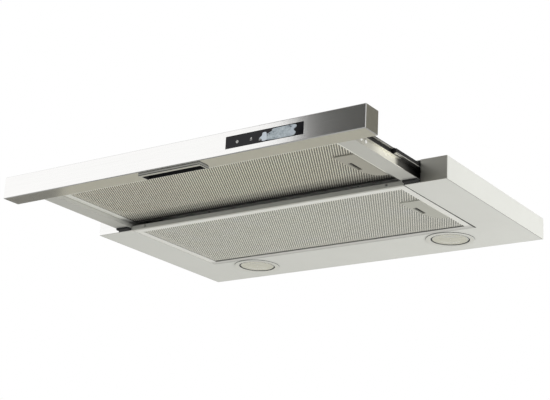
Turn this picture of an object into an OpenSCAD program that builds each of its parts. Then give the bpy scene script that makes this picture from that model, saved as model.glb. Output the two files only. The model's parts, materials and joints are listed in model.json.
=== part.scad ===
// Pull out range hood, 60 cm class: a flat fixed slab under the wall cabinet, a drawer with its own
// grease filter that pulls out on ball rails, and a low blower casing on top of the slab.
// The origin is the middle of the slab's top face, which the cabinet floor rests on.
// +X is to the right seen from the front, the drawer comes out towards -Y, +Z is up.
// The drawer is drawn pulled out, the filters and back-draught flaps closed.

/* [Slab] */
// Width of the slab and of the fascia
body_w = 598; // [590:1:640]
// Depth of the fixed slab, from the drawer mouth to the rear wall
body_d = 305; // [298:1:340]
// Height of the fixed slab
body_h = 32; // [32:0.5:40]
// Thickness of the folded steel sheet
sheet_t = 0.8; // [0.6:0.1:1]
// Width of the steel trim strip on each side of the drawer mouth
trim_w = 39; // [36:1:44]
// Thickness of the trim strips
trim_t = 1; // [0.8:0.1:1.5]
// Height of the rail across the front of the rear filter
cross_rail_h = 6.5; // [5:0.5:7]

/* [Drawer] */
// Travel of the drawer from shut to pulled out
travel = 174; // [150:1:176]
// Height of the fascia
fascia_h = 32; // [31:0.5:38]
// Depth of the fascia box
fascia_d = 29.6; // [27:0.1:36]
// How far the fascia hangs below the slab's underside
fascia_drop = 1.6; // [0:0.1:3]
// Wall of the fascia box
fascia_t = 1; // [0.8:0.1:1.4]
// Gap that the rubber stops leave between the fascia and the slab when shut
shut_gap = 1.6; // [1.2:0.1:3]
// Height of the drawer's bottom flanges above the slab's underside
flange_up = 4; // [3.6:0.1:4.4]
// Thickness of the drawer's side members
member_t = 1; // [0.8:0.1:1.4]
// Space between the shut drawer and the slab's rear
drawer_rear_gap = 56; // [50:1:70]

/* [Rails] */
// How much shorter each rail member is than the drawer's side members
rail_short = 7; // [5:1:20]
// Height of the rails
rail_h = 9.2; // [8.6:0.1:9.6]
// Width of the space between the drawer's web and the fixed bracket that a rail fills
rail_w = 10; // [9.6:0.1:11]
// Free play between two rail members
rail_play = 0.3; // [0.25:0.05:0.4]

/* [Filters] */
// Depth of the slab's underside behind the rear filter, where the lamps are
lamp_strip_d = 95; // [90:1:110]
// Height of a filter cassette
filter_h = 8; // [7.5:0.1:8.2]
// Visible border of a filter frame
filter_border = 10; // [8:0.5:14]
// Wall of a filter frame
filter_t = 0.8; // [0.6:0.1:1]
// Thickness of one expanded metal layer
layer_t = 0.5; // [0.4:0.1:0.7]
// Width of the catch plate
catch_w = 34; // [32:1:40]
// Length of the catch plate along the filter's edge
catch_l = 86; // [72:1:90]
// Travel of the catch slider
catch_travel = 2.2; // [1.8:0.1:2.4]

/* [Controls] */
// Width of the touch glass
glass_w = 117.8; // [100:0.1:130]
// Height of the touch glass
glass_h = 16.5; // [14:0.5:20]
// Distance of the touch glass from the fascia's right end
glass_side = 87.8; // [60:0.1:120]
// Width of the finger grip under the fascia
grip_w = 102; // [90:1:130]
// Distance of the finger grip's middle from the fascia's middle, towards the left
grip_left = 3.5; // [0:0.5:20]

/* [Lamps] */
// Distance of each lamp from the slab's side
lamp_side = 123; // [110:1:150]
// Distance of the lamps from the slab's rear
lamp_rear = 58.5; // [50:0.5:58.5]
// Outer diameter of a lamp bezel
bezel_dia = 73; // [70:1:76]
// Diameter of the visible lamp lens
lens_dia = 56; // [50:1:58]

/* [Blower] */
// Width of the blower casing
casing_w = 250; // [246:1:270]
// Depth of the blower casing
casing_d = 260; // [250:1:264]
// Distance of the blower casing from the slab's rear
casing_rear = 20; // [14:1:20]
// Height of the blower casing above the slab
casing_h = 86; // [84:1:96]
// Radius of the fan wheel
wheel_r = 70; // [66:0.5:72]
// Height of the fan wheel
wheel_h = 47; // [40:1:48]
// Number of blades on the fan wheel
blades = 36; // [24:1:44]
// Radius of the duct collar, which a 120 mm duct slides over
duct_r = 59.5; // [57:0.1:62]
// Height of the duct collar above its flange
duct_h = 25; // [22:1:40]

/* [Electronics] */
// Width of the electronics box
box_w = 105; // [95:1:108]
// Depth of the electronics box
box_d = 160; // [150:1:180]
// Height of the electronics box
box_h = 36; // [36:1:50]

/* [Fixing] */
// Distance of the cabinet screws from the slab's sides
fix_side = 19; // [17:0.5:20]
// Distance of the cabinet screws from the slab's front and rear
fix_end = 42.5; // [35:0.5:60]
// Radius of a cabinet screw hole
fix_r = 2.6; // [2.1:0.1:3.2]

/* [Hidden] */
$fn = 64;

// Colours, as the photograph shows them
painted_grey = [0.84, 0.84, 0.82];
bright_steel = [0.80, 0.80, 0.78];
dark_steel = [0.45, 0.45, 0.43];
rail_black = [0.10, 0.10, 0.10];
mesh_grey = [0.64, 0.63, 0.58];
glass_black = [0.05, 0.05, 0.06];
plastic_dark = [0.20, 0.20, 0.21];
plastic_grey = [0.55, 0.55, 0.55];
board_green = [0.10, 0.35, 0.20];

// Places: depth behind the drawer mouth, and height above the slab's underside
half_w = body_w / 2;
front_y = -body_d / 2;
rear_y = body_d / 2;
function back(d) = front_y + d;
function up(h) = h - body_h;
// A place on the drawer, given where it is when the drawer is shut
function shut(d) = back(d - travel);
// The two limits that lie evenly about a middle
function about(middle, half) = [middle - half, middle + half];

// Clearance between pieces of different bodies that pass each other
clear = 0.3;

// Drawer mouth and filter window
mouth_half = half_w - trim_w;
bracket_t = 1.5;
web_x = mouth_half - rail_w;
lip_x = web_x - 15;
flange_out_x = mouth_half - 0.6;
filter_gap = 1;
filter_half = lip_x - filter_gap;
window_gap = 1.3;
window_half = filter_half + window_gap;
cross_rail_d = 4;
rear_filter_front = cross_rail_d + 0.5;
window_rear = body_d - lamp_strip_d;
rear_filter_d = window_rear - filter_gap - rear_filter_front;
window_lip_h = flange_up - 0.8;
plate_top = sheet_t;
ceiling_z = -sheet_t;
seam = 0.4;

// Heights of the drawer above the underside
lip_top_h = flange_up + 10;
front_filter_h0 = flange_up + 5.8;
web_top_h = body_h - sheet_t - 2.8;
rail_h0 = web_top_h + 0.6 - rail_h;
panel_h0 = web_top_h;
bar_h0 = web_top_h - 6;

// Depths of the drawer when shut
fascia_back_shut = -shut_gap;
fascia_front_shut = fascia_back_shut - fascia_d;
front_filter_shut = 14;
front_filter_d = travel - front_filter_shut - 2;
strip_end_shut = front_filter_shut - 1;
panel_end_shut = travel + 20;
member_end_shut = body_d - drawer_rear_gap;
bar_d = 9;

// Rails: where the front end of each member is when the drawer is shut
rail_len = member_end_shut - rail_short;
outer_rail_front = 8;
inner_rail_shut = 2;
middle_rail_shut = 25;
rail_plate = 1.2;
rail_lip = 1;

// Heights of the fascia
fascia_z0 = up(-fascia_drop);
fascia_z1 = fascia_z0 + fascia_h;

// A box given by its limits along each axis
module block(x, y, z) {
    translate([x[0], y[0], z[0]]) cube([x[1] - x[0], y[1] - y[0], z[1] - z[0]]);
}

// An upright cylinder given by its centre, radius and limits along Z
module drum(at, r, z) {
    translate([at[0], at[1], z[0]]) cylinder(r = r, h = z[1] - z[0]);
}

// An upright ring
module ring(at, r_out, r_in, z) {
    difference() {
        drum(at, r_out, z);
        drum(at, r_in, [z[0] - 1, z[1] + 1]);
    }
}

// A rod along X, given by its limits along X and its place in Y and Z
module rod_x(x, y, z, r) {
    translate([x[0], y, z]) rotate([0, 90, 0]) cylinder(r = r, h = x[1] - x[0]);
}

// A rod along Y
module rod_y(y, x, z, r) {
    translate([x, y[1], z]) rotate([90, 0, 0]) cylinder(r = r, h = y[1] - y[0]);
}

// The same thing on the right and, mirrored, on the left
module both_sides() {
    children();
    mirror([1, 0, 0]) children();
}

// The thing drawn for the right, put on the side s: 1 right, -1 left
module on_side(s) {
    if (s > 0) children();
    if (s < 0) mirror([1, 0, 0]) children();
}

// A flat rectangle with round corners, from its lower left corner
module round_rect(size, r) {
    translate([r, 0]) square([size[0] - 2 * r, size[1]]);
    translate([0, r]) square([size[0], size[1] - 2 * r]);
    for (x = [r, size[0] - r], y = [r, size[1] - r]) translate([x, y]) circle(r = r);
}

// ---------------------------------------------------------------- slab

fix_points = [for (x = [fix_side - half_w, half_w - fix_side],
    y = [front_y + fix_end, rear_y - fix_end]) [x, y]];
nut_r = 4.5;

// Folded top, side walls and rear wall of the slab
module canopy_shell() color(painted_grey) difference() {
    union() {
        block([-half_w, half_w], [back(trim_t), rear_y], [ceiling_z, 0]);
        block([-half_w, half_w], [rear_y - sheet_t, rear_y], [up(0), 0]);
        both_sides() block([half_w - sheet_t, half_w], [back(trim_t), rear_y], [up(0), 0]);
    }
    drum(wheel_at, inlet_r + 2, [ceiling_z - 1, 1]);
    for (p = fix_points) drum(p, fix_r, [ceiling_z - 1, 1]);
    for (p = screw_flange) drum(p, screw_r + 0.1, [ceiling_z - 1, 1]);
}

lamp_hole_r = bezel_dia / 2 - 6;
lamp_x = half_w - lamp_side;
lamp_points = [[-lamp_x, rear_y - lamp_rear], [lamp_x, rear_y - lamp_rear]];

// Underside of the slab, with the filter window and the two lamp holes
module bottom_plate() color(painted_grey) {
    side_x = half_w - sheet_t - seam;
    difference() {
        union() {
            block([-side_x, side_x], [back(trim_t), rear_y - sheet_t - seam], [up(0), up(plate_top)]);
            both_sides() block([window_half, window_half + sheet_t],
                [back(cross_rail_d), back(window_rear + sheet_t)], [up(0), up(window_lip_h)]);
            block([-window_half, window_half],
                [back(window_rear), back(window_rear + sheet_t)], [up(0), up(window_lip_h)]);
        }
        block([-window_half, window_half], [front_y - 1, back(window_rear)], [up(-1), up(body_h)]);
        for (p = lamp_points) drum(p, lamp_hole_r, [up(-1), up(plate_top + 1)]);
        // notches for the hinge tongues of the rear filter
        for (d = tongue_places(rear_filter_d))
            block([-window_half - 2, -window_half + 1],
                about(back(rear_filter_front + d), tongue_l / 2 + 0.5),
                [up(plate_top), up(window_lip_h + 1)]);
    }
}

cross_hole_side = 25;
cross_hole_x = filter_half - cross_hole_side;

// Upright channel across the front of the rear filter, with a hole near each end
module cross_rail() color(painted_grey) difference() {
    block([-window_half, window_half], [front_y, back(cross_rail_d)], [up(0), up(cross_rail_h)]);
    block([-window_half - 1, window_half + 1], [back(trim_t), back(cross_rail_d + 1)],
        [up(plate_top), up(cross_rail_h - sheet_t)]);
    both_sides() rod_y([front_y - 1, back(trim_t + 1)], cross_hole_x, up(cross_rail_h * 0.6), 1.8);
    // step that clears the lips of the drawer's side members
    both_sides() block([filter_half + filter_gap / 2, window_half + 1],
        [front_y - 1, back(cross_rail_d + 1)], [up(window_lip_h), up(cross_rail_h + 1)]);
}

return_d = 15;

// Steel strip beside the drawer mouth, with a return along the mouth's edge
module front_trim(s) color(s > 0 ? dark_steel : bright_steel) on_side(s) {
    block([mouth_half, half_w], [front_y, back(trim_t)], [up(0), 0]);
    block([mouth_half, mouth_half + trim_t], [back(trim_t), back(return_d)],
        [up(plate_top), ceiling_z]);
}
module front_trim_left() front_trim(-1);
module front_trim_right() front_trim(1);

bracket_flange = 10;
bracket_end = middle_rail_shut + rail_len + 3;

// Upright brackets that carry the fixed rails
module slide_brackets() color(dark_steel) both_sides() {
    block([mouth_half, mouth_half + bracket_t], [back(return_d + 1), back(bracket_end)],
        [up(plate_top), ceiling_z]);
    block([mouth_half + bracket_t, mouth_half + bracket_t + bracket_flange],
        [back(return_d + 1), back(bracket_end)], [ceiling_z - sheet_t, ceiling_z]);
}

// Threaded inserts for the cabinet screws
module cabinet_nuts() color(bright_steel) for (p = fix_points) {
    ring(p, nut_r, fix_r, [ceiling_z - 8, ceiling_z]);
}

// ---------------------------------------------------------------- rails

rail_z = [up(rail_h0), up(rail_h0 + rail_h)];
lip_reach = (rail_w - 0.6) / 2 - rail_play;

// Channel of the right side that opens outwards, its plate at x0, its lips reaching dx
module rail_channel(x0, dx, y) {
    difference() {
        block([min(x0, x0 + dx), max(x0, x0 + dx)], y, rail_z);
        block([min(x0, x0 + dx) + (dx > 0 ? rail_plate : -1),
            max(x0, x0 + dx) + (dx > 0 ? 1 : -rail_plate)],
            [y[0] - 1, y[1] + 1], [rail_z[0] + rail_lip, rail_z[1] - rail_lip]);
    }
}

// Fixed rail members on the brackets
module outer_rails() color(rail_black) both_sides() {
    rail_channel(mouth_half, -lip_reach, [back(outer_rail_front), back(outer_rail_front + rail_len)]);
}

// Middle rail member: a core that runs in both channels, with a flange between them
module middle_rail(s) color([0.30, 0.30, 0.30]) on_side(s) {
    y0 = back(middle_rail_shut - travel / 2);
    core = [rail_z[0] + rail_lip + rail_play, rail_z[1] - rail_lip - rail_play];
    mid_x = web_x + rail_w / 2;
    block([web_x + rail_plate + rail_play, mouth_half - rail_plate - rail_play],
        [y0, y0 + rail_len], core);
    block([mid_x - 0.3, mid_x + 0.3], [y0, y0 + rail_len], rail_z);
}
module middle_rail_left() middle_rail(-1);
module middle_rail_right() middle_rail(1);

// Rail members on the drawer's webs
module inner_rails() color(rail_black) both_sides() {
    rail_channel(web_x, lip_reach, [shut(inner_rail_shut), shut(inner_rail_shut + rail_len)]);
}

// ---------------------------------------------------------------- drawer

fascia_back_y = shut(fascia_back_shut);
fascia_front_y = shut(fascia_front_shut);
tongue_l = 14;
tongue_t = 1.2;
tongue_out = 2.5;

// Side member: web, bottom flange, inner lip beside the filter, top flange for the panel
module drawer_side(s) color(bright_steel) on_side(s) {
    y = [fascia_back_y, shut(member_end_shut)];
    difference() {
        union() {
            block([web_x - member_t, web_x], y, [up(flange_up), up(web_top_h)]);
            block([lip_x, flange_out_x], y, [up(flange_up), up(flange_up + sheet_t)]);
            block([lip_x, lip_x + sheet_t], y, [up(flange_up), up(lip_top_h)]);
            block([web_x - 12, web_x], y, [up(web_top_h - sheet_t), up(web_top_h)]);
        }
        for (p = screw_places) rod_x([web_x - 3, web_x + 1], p, up(screw_h), screw_r + 0.1);
        if (s < 0) for (d = tongue_places(front_filter_d))
            block([lip_x - 1, lip_x + 2],
                about(shut(front_filter_shut + d), tongue_l / 2 + 0.5),
                [up(front_filter_h0 + 0.7), up(lip_top_h + 1)]);
    }
}
module drawer_side_left() drawer_side(-1);
module drawer_side_right() drawer_side(1);

// Flush strip between the fascia and the front filter
module drawer_front_strip() color(bright_steel) {
    block([-lip_x, lip_x], [fascia_back_y, shut(strip_end_shut)],
        [up(front_filter_h0), up(front_filter_h0 + sheet_t)]);
    block([-lip_x, lip_x], [shut(strip_end_shut - sheet_t), shut(strip_end_shut)],
        [up(front_filter_h0), up(lip_top_h)]);
}

// Sheet over the front filter, which leads the air back into the slab
module drawer_top_panel() color(painted_grey) {
    block([-web_x + 0.2, web_x - 0.2], [fascia_back_y, shut(panel_end_shut)],
        [up(panel_h0), up(panel_h0 + sheet_t)]);
}

// Channel that ties the rear ends of the side members
module drawer_rear_bar() color(dark_steel) difference() {
    x = web_x - member_t;
    block([-x, x], [shut(member_end_shut - bar_d), shut(member_end_shut)],
        [up(bar_h0), up(web_top_h - sheet_t)]);
    block([-x - 1, x + 1], [shut(member_end_shut - bar_d) - 1, shut(member_end_shut) - sheet_t],
        [up(bar_h0 + sheet_t), up(web_top_h)]);
}

screw_r = 1.6;
screw_head_r = 2.5;
screw_head_t = 1.6;
screw_h = rail_h0 - 3;
screw_places = [fascia_back_y + 40.6, fascia_back_y + 51.6];
corner_l = 62;
corner_t = 2;
corner_z = [up(flange_up + 2), up(web_top_h - 2)];

// Angle pieces that join the side members to the fascia
module corner_brackets() color(dark_steel) both_sides() difference() {
    x1 = web_x - member_t;
    union() {
        block([x1 - corner_t, x1], [fascia_back_y, fascia_back_y + corner_l], corner_z);
        block([lip_x + 2, x1], [fascia_back_y, fascia_back_y + corner_t], corner_z);
    }
    for (p = screw_places) rod_x([x1 - 3, x1 + 1], p, up(screw_h), screw_r + 0.1);
    rod_y([fascia_back_y - 1, fascia_back_y + 3], lip_x + 7, up(screw_h), screw_r + 0.1);
}

// Screws of the corner pieces: two through each web and one into the fascia
module drawer_screws() color(bright_steel) both_sides() {
    for (p = screw_places) {
        rod_x([web_x, web_x + screw_head_t], p, up(screw_h), screw_head_r);
        rod_x([web_x - 5, web_x], p, up(screw_h), screw_r);
    }
    head_y = fascia_back_y + corner_t;
    rod_y([head_y, head_y + screw_head_t], lip_x + 7, up(screw_h), screw_head_r);
    rod_y([fascia_back_y - 5, head_y], lip_x + 7, up(screw_h), screw_r);
}

fold_r = 1.2;
glass_x = half_w - glass_side - glass_w;
glass_z0 = fascia_z0 + (fascia_h - glass_h) / 2 + 0.1;
grip_front = 6;
grip_d = 22.4;

// Folded steel front of the drawer, closed at its ends and open at its back
module fascia_panel() color(bright_steel) difference() {
    translate([-half_w, fascia_front_y, fascia_z0]) rotate([90, 0, 90])
        linear_extrude(height = body_w) round_rect([fascia_d, fascia_h], fold_r);
    block([-half_w + fascia_t, half_w - fascia_t], [fascia_front_y + fascia_t, fascia_back_y + 1],
        [fascia_z0 + fascia_t, fascia_z1 - fascia_t]);
    block([glass_x - 0.1, glass_x + glass_w + 0.1], [fascia_front_y - 1, fascia_front_y + fascia_t + 1],
        [glass_z0 - 0.1, glass_z0 + glass_h + 0.1]);
    block([-grip_left - grip_w / 2 - 0.1, -grip_left + grip_w / 2 + 0.1],
        [fascia_front_y + grip_front - 0.1, fascia_front_y + grip_front + grip_d + 0.1],
        [fascia_z0 - 1, fascia_z0 + fascia_t + 1]);
}

// Plate that closes the back of the fascia
module fascia_back_plate() color(dark_steel) difference() {
    block([-half_w + fascia_t, half_w - fascia_t], [fascia_back_y - fascia_t, fascia_back_y],
        [fascia_z0 + fascia_t, fascia_z1 - fascia_t]);
    both_sides() rod_y([fascia_back_y - 3, fascia_back_y + 1], lip_x + 7, up(screw_h), screw_r + 0.1);
}

bumper_t = shut_gap - clear;

// Rubber stops on the back of the fascia, which meet the trim strips
module fascia_bumpers() color(rail_black) both_sides() {
    rod_y([fascia_back_y, fascia_back_y + bumper_t], (mouth_half + half_w) / 2, up(body_h / 2), 4);
}

grip_lip = 2.6;
grip_pocket_h = 12;
grip_wall = 1;
grip_slope = 1;
grip_rim = 5.5;
grip_side_rim = 2;
grip_end_slope = 3;

// Finger grip: a rim that hangs below the fascia in front of and beside a pocket for the fingertips
module grip_insert() color(plastic_dark) {
    half = grip_w / 2;
    translate([-grip_left, fascia_front_y + grip_front, fascia_z0]) difference() {
        union() {
            translate([-half, 0, 0]) rotate([90, 0, 90]) linear_extrude(height = grip_w)
                polygon([[0, fascia_t], [0, 0], [grip_slope, -grip_lip],
                    [grip_d - grip_end_slope, -grip_lip], [grip_d, 0], [grip_d, fascia_t]]);
            block([-half, half], [grip_rim - grip_wall, grip_d], [0, grip_pocket_h]);
        }
        block([-half + grip_side_rim, half - grip_side_rim], [grip_rim, grip_d - grip_wall],
            [-grip_lip - 1, grip_pocket_h - grip_wall]);
    }
}

glass_t = 3;
holder_rim = 4;
holder_t = 1.5;

// Black touch glass, flush with the steel
module touch_glass() color(glass_black) {
    translate([glass_x, fascia_front_y + glass_t, glass_z0]) rotate([90, 0, 0])
        linear_extrude(height = glass_t) round_rect([glass_w, glass_h], 0.8);
}

// Plastic holder behind the touch glass
module touch_holder() color(plastic_dark) difference() {
    block([glass_x - holder_rim, glass_x + glass_w + holder_rim],
        [fascia_front_y + fascia_t, fascia_front_y + glass_t + holder_t],
        [glass_z0 - holder_rim, glass_z0 + glass_h + holder_rim]);
    block([glass_x - 0.1, glass_x + glass_w + 0.1], [fascia_front_y, fascia_front_y + glass_t],
        [glass_z0 - 0.1, glass_z0 + glass_h + 0.1]);
}

board_t = 1.6;
board_rim = 2;
chips = 6;
chip = [8, 2, 8];
plug_socket = [6, 6, 14];

// Electronics of the touch control
module touch_board() color(board_green) {
    y0 = fascia_front_y + glass_t + holder_t;
    x0 = glass_x - board_rim;
    size = [glass_w + 2 * board_rim, board_t, glass_h + 2 * board_rim];
    translate([x0, y0, glass_z0 - board_rim]) cube(size);
    for (i = [1:chips]) translate([x0 + i * size[0] / (chips + 1), y0 + board_t, glass_z0 + glass_h / 4])
        cube(chip);
    translate([x0 + board_rim, y0 + board_t, glass_z0]) cube(plug_socket);
}

// ---------------------------------------------------------------- filters

// Where the two hinge tongues of a cassette of depth d are, from its front edge
function tongue_places(d) = [d * 0.2, d * 0.8];

slider_half = 12;
// Distance of the slot's and the slider's middle from the plate's straight edge
slot_at = 40;
slider_h = [1.9, 3.5];
slot_x = catch_w - 20.4;
slot_w = catch_travel + 0.8 + 2 * clear;
slider_x = slot_x - slot_w - 1;
slot_half = 13.8;

// Where the catch is, from the cassette's front edge: its straight edge, then its middle
front_catch_at = 51;
rear_catch_at = 60;

// Cassettes are drawn from the middle of their front edge, at their underside
module front_filter_place() {
    translate([0, shut(front_filter_shut), up(front_filter_h0)]) children();
}
module rear_filter_place() {
    translate([0, back(rear_filter_front), up(0)]) children();
}

// Frame of folded channel with hinge tongues on the left and a slot for the catch on the right
module filter_frame(d, catch_at) color(bright_steel) {
    w = filter_half;
    b = filter_border;
    t = filter_t;
    difference() {
        translate([-w, 0, 0]) linear_extrude(height = filter_h) round_rect([2 * w, d], 1.5);
        block([-w + b, w - b], [b, d - b], [-1, filter_h + 1]);
        block([-w + t, w - t], [t, d - t], [t, filter_h - t]);
        block([w - t - 1, w + 1], about(catch_at + slot_at, slider_half + clear),
            [slider_h[0] - clear, slider_h[1] + clear]);
    }
    for (p = tongue_places(d)) block([-w - tongue_out, -w + t], about(p, tongue_l / 2),
        [tongue_t, 2 * tongue_t]);
}

// Three layers of expanded aluminium in the frame, cut out for the catch
module filter_mesh(d, catch_at) color(mesh_grey) difference() {
    t = filter_t;
    w = filter_half - t;
    levels = [t, (filter_h - layer_t) / 2, filter_h - t - layer_t];
    for (z = levels) block([-w, w], [t, d - t], [z, z + layer_t]);
    block([filter_half - filter_border - catch_w, filter_half],
        [catch_at, catch_at + catch_l], [levels[1] - 1, levels[2] - 0.1]);
    block([filter_half - filter_border, filter_half], [catch_at, catch_at + catch_l],
        [0, levels[1]]);
    translate([filter_half - filter_border, catch_at, 0]) linear_extrude(height = levels[1])
        polygon(catch_outline(14));
}

// Half-oval outline of the catch plate: straight in front and along the border
catch_curve = 3;
function catch_outline(steps) = concat([[0, 0]], [for (i = [0:steps]) let (a = 90 * i / steps)
    [-catch_w * pow(cos(a), 2 / catch_curve), catch_l * pow(sin(a), 2 / catch_curve)]]);

catch_plate_h = [-0.6, 1.6];
spring_r = 1.4;
spring_len = 5.5;

// Catch plate, with the slot for the finger edge, guides for the slider and a spring stop
module catch_plate(catch_at) color(mesh_grey) {
    x1 = filter_half - filter_border;
    x0 = x1 - catch_w;
    translate([x1, catch_at, 0]) difference() {
        translate([0, 0, catch_plate_h[0]])
            linear_extrude(height = catch_plate_h[1] - catch_plate_h[0]) polygon(catch_outline(14));
        block([slot_x - slot_w - catch_w, slot_x - catch_w],
            about(slot_at, slot_half), [-2, 3]);
    }
    for (side = [-1, 1]) block([x0 + slot_x - slot_w - 2, x1],
        about(catch_at + slot_at + side * (slider_half + clear + 0.6), 0.6),
        [catch_plate_h[1], slider_h[1]]);
    stop_x = x0 + slider_x - clear - spring_len;
    block([stop_x - 1.5, stop_x], about(catch_at + slot_at, 4), [catch_plate_h[1], 5]);
}

// Catch slider: tongue out of the frame's right side, finger edge down in the slot
module catch_slider(catch_at) color(plastic_dark) {
    x1 = filter_half - filter_border;
    x0 = x1 - catch_w;
    y = catch_at + slot_at;
    block([x0 + slider_x, filter_half + window_gap - clear],
        about(y, slider_half), slider_h);
    block([x0 + slot_x - clear - 0.8, x0 + slot_x - clear], about(y, slider_half),
        [0, slider_h[0]]);
}

// Coil spring of the catch, drawn as a tube
module catch_spring(catch_at) color(bright_steel) {
    x = filter_half - filter_border - catch_w + slider_x - 0.1;
    z = catch_plate_h[1] + 0.1 + spring_r;
    difference() {
        rod_x([x - spring_len, x], catch_at + slot_at, z, spring_r);
        rod_x([x - spring_len - 1, x + 1], catch_at + slot_at, z, spring_r - 0.5);
    }
}

module front_filter_frame() front_filter_place() filter_frame(front_filter_d, front_catch_at);
module front_filter_mesh() front_filter_place() filter_mesh(front_filter_d, front_catch_at);
module front_catch_plate() front_filter_place() catch_plate(front_catch_at);
module front_catch_slider() front_filter_place() catch_slider(front_catch_at);
module front_catch_spring() front_filter_place() catch_spring(front_catch_at);
module rear_filter_frame() rear_filter_place() filter_frame(rear_filter_d, rear_catch_at);
module rear_filter_mesh() rear_filter_place() filter_mesh(rear_filter_d, rear_catch_at);
module rear_catch_plate() rear_filter_place() catch_plate(rear_catch_at);
module rear_catch_slider() rear_filter_place() catch_slider(rear_catch_at);
module rear_catch_spring() rear_filter_place() catch_spring(rear_catch_at);

// ---------------------------------------------------------------- lamps

bezel_r = bezel_dia / 2;
lens_r = lens_dia / 2;
bezel_down = 1.2;
bezel_neck_h = 6;
lens_bulge = 2;
lens_ball_r = (lens_r * lens_r + lens_bulge * lens_bulge) / (2 * lens_bulge);
lens_x = lens_r - 0.15;
lens_rim_t = 2;
lens_steps = 10;
function lens_z(x) = lens_ball_r - lens_bulge - sqrt(lens_ball_r * lens_ball_r - x * x);
module_h = 16;

// Chromed rings that hold the lamps in the bottom plate
module lamp_bezels() color(bright_steel) for (p = lamp_points) {
    translate([p[0], p[1], up(0)]) rotate_extrude() {
        difference() {
            translate([lens_r, -bezel_down]) square([bezel_r - lens_r, bezel_down]);
            translate([bezel_r, -bezel_down]) rotate([0, 0, 45]) square(1.2, center = true);
        }
        translate([lamp_hole_r - 1.8, 0]) square([1.6, bezel_neck_h]);
        translate([lens_r, -bezel_down]) square([lamp_hole_r - 1.7 - lens_r, bezel_down + 0.6]);
    }
}

// Slightly domed glass lenses
module lamp_lenses() color([0.95, 0.95, 0.92, 0.6]) for (p = lamp_points) {
    translate([p[0], p[1], up(0.6)]) {
        cylinder(r = lamp_hole_r - 1.9, h = lens_rim_t);
        rotate_extrude() polygon(concat([[0, 0.5]], [for (i = [0:lens_steps])
            let (x = lens_x * i / lens_steps) [x, lens_z(x)]], [[lens_x, 0.5]]));
    }
}

// Light-emitting modules with cooling fins and two spring clips each
module lamp_modules() color(plastic_grey) for (p = lamp_points) {
    z0 = 0.6 + lens_rim_t;
    r = lamp_hole_r - 1.9;
    translate([p[0], p[1], up(z0)]) {
        cylinder(r = r, h = module_h - 8);
        for (i = [-3:3]) block([i * 7 - 1, i * 7 + 1], [-r * 0.75, r * 0.75],
            [module_h - 8, module_h]);
    }
    clip_z0 = plate_top;
    for (side = [-1, 1]) translate([p[0], p[1], 0]) {
        block(side > 0 ? [r - 1, r + 9] : [-r - 9, -r + 1], [-5, 5],
            [up(bezel_neck_h + 0.3), up(bezel_neck_h + 1.1)]);
        block(side > 0 ? [r + 8.2, r + 9] : [-r - 9, -r - 8.2], [-5, 5],
            [up(clip_z0), up(bezel_neck_h + 1.1)]);
    }
}

// ---------------------------------------------------------------- blower

casing_t = 1;
casing_x = casing_w / 2;
casing_y = [rear_y - casing_rear - casing_d, rear_y - casing_rear];
casing_flange = 12;
// The fan stands right of the middle, so that its outlet is under the duct collar
wheel_side = 96;
wheel_front = 105;
wheel_at = [casing_x - wheel_side, casing_y[0] + wheel_front];
inlet_r = 52;
scroll_t = 2;
scroll_floor = 2;
wheel_z0 = scroll_floor + 5;
wheel_z1 = wheel_z0 + wheel_h;
scroll_top = wheel_z1 + 4;
tongue_gap = 7;
scroll_growth = 30;
scroll_start = 150;
scroll_turn = 330;
outlet_l = 50;
collar_at = [0, casing_y[1] - duct_r - 10.5];
screw_inset = 30;
screw_flange = [for (x = [-casing_x - casing_flange / 2, casing_x + casing_flange / 2],
    y = [casing_y[0] + screw_inset, casing_y[1] - screw_inset]) [x, y]];

// Radius of the scroll after turning by a from its tongue
function scroll_r(a) = wheel_r + tongue_gap + scroll_growth * a / scroll_turn;
function scroll_point(a, out) = wheel_at + (scroll_r(a) + out)
    * [cos(scroll_start - a), sin(scroll_start - a)];
scroll_steps = 40;
function scroll_curve(out) = [for (i = [0:scroll_steps])
    scroll_point(scroll_turn * i / scroll_steps, out)];
outlet_y = wheel_at[1] + outlet_l;
outlet_in_x = scroll_point(0, 0)[0];
outlet_out_x = scroll_point(scroll_turn, 0)[0];

// Sheet casing round the blower, screwed to the slab
module blower_casing() color(painted_grey) difference() {
    union() {
        block([-casing_x, casing_x], casing_y, [0, casing_h]);
        block([-casing_x - casing_flange, casing_x + casing_flange], casing_y, [0, casing_t]);
    }
    block([-casing_x + casing_t, casing_x - casing_t], casing_y + [casing_t, -casing_t],
        [-1, casing_h + 1]);
    for (p = screw_flange) drum(p, screw_r + 0.1, [-1, casing_t + 1]);
}

cover_rim = 10;
collar_hole_r = duct_r - 2;

// Lid of the casing with the hole for the duct collar
module casing_cover() color(painted_grey) difference() {
    out = 0.2 + casing_t;
    block([-casing_x - out, casing_x + out], casing_y + [-out, out],
        [casing_h - cover_rim, casing_h + casing_t]);
    block([-casing_x - 0.2, casing_x + 0.2], casing_y + [-0.2, 0.2],
        [casing_h - cover_rim - 1, casing_h]);
    drum(collar_at, collar_hole_r, [casing_h - 1, casing_h + casing_t + 1]);
    for (a = collar_screws) drum(collar_at + collar_screw_r * [cos(a), sin(a)], screw_r + 0.1,
        [casing_h - 1, casing_h + casing_t + 1]);
}

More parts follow.
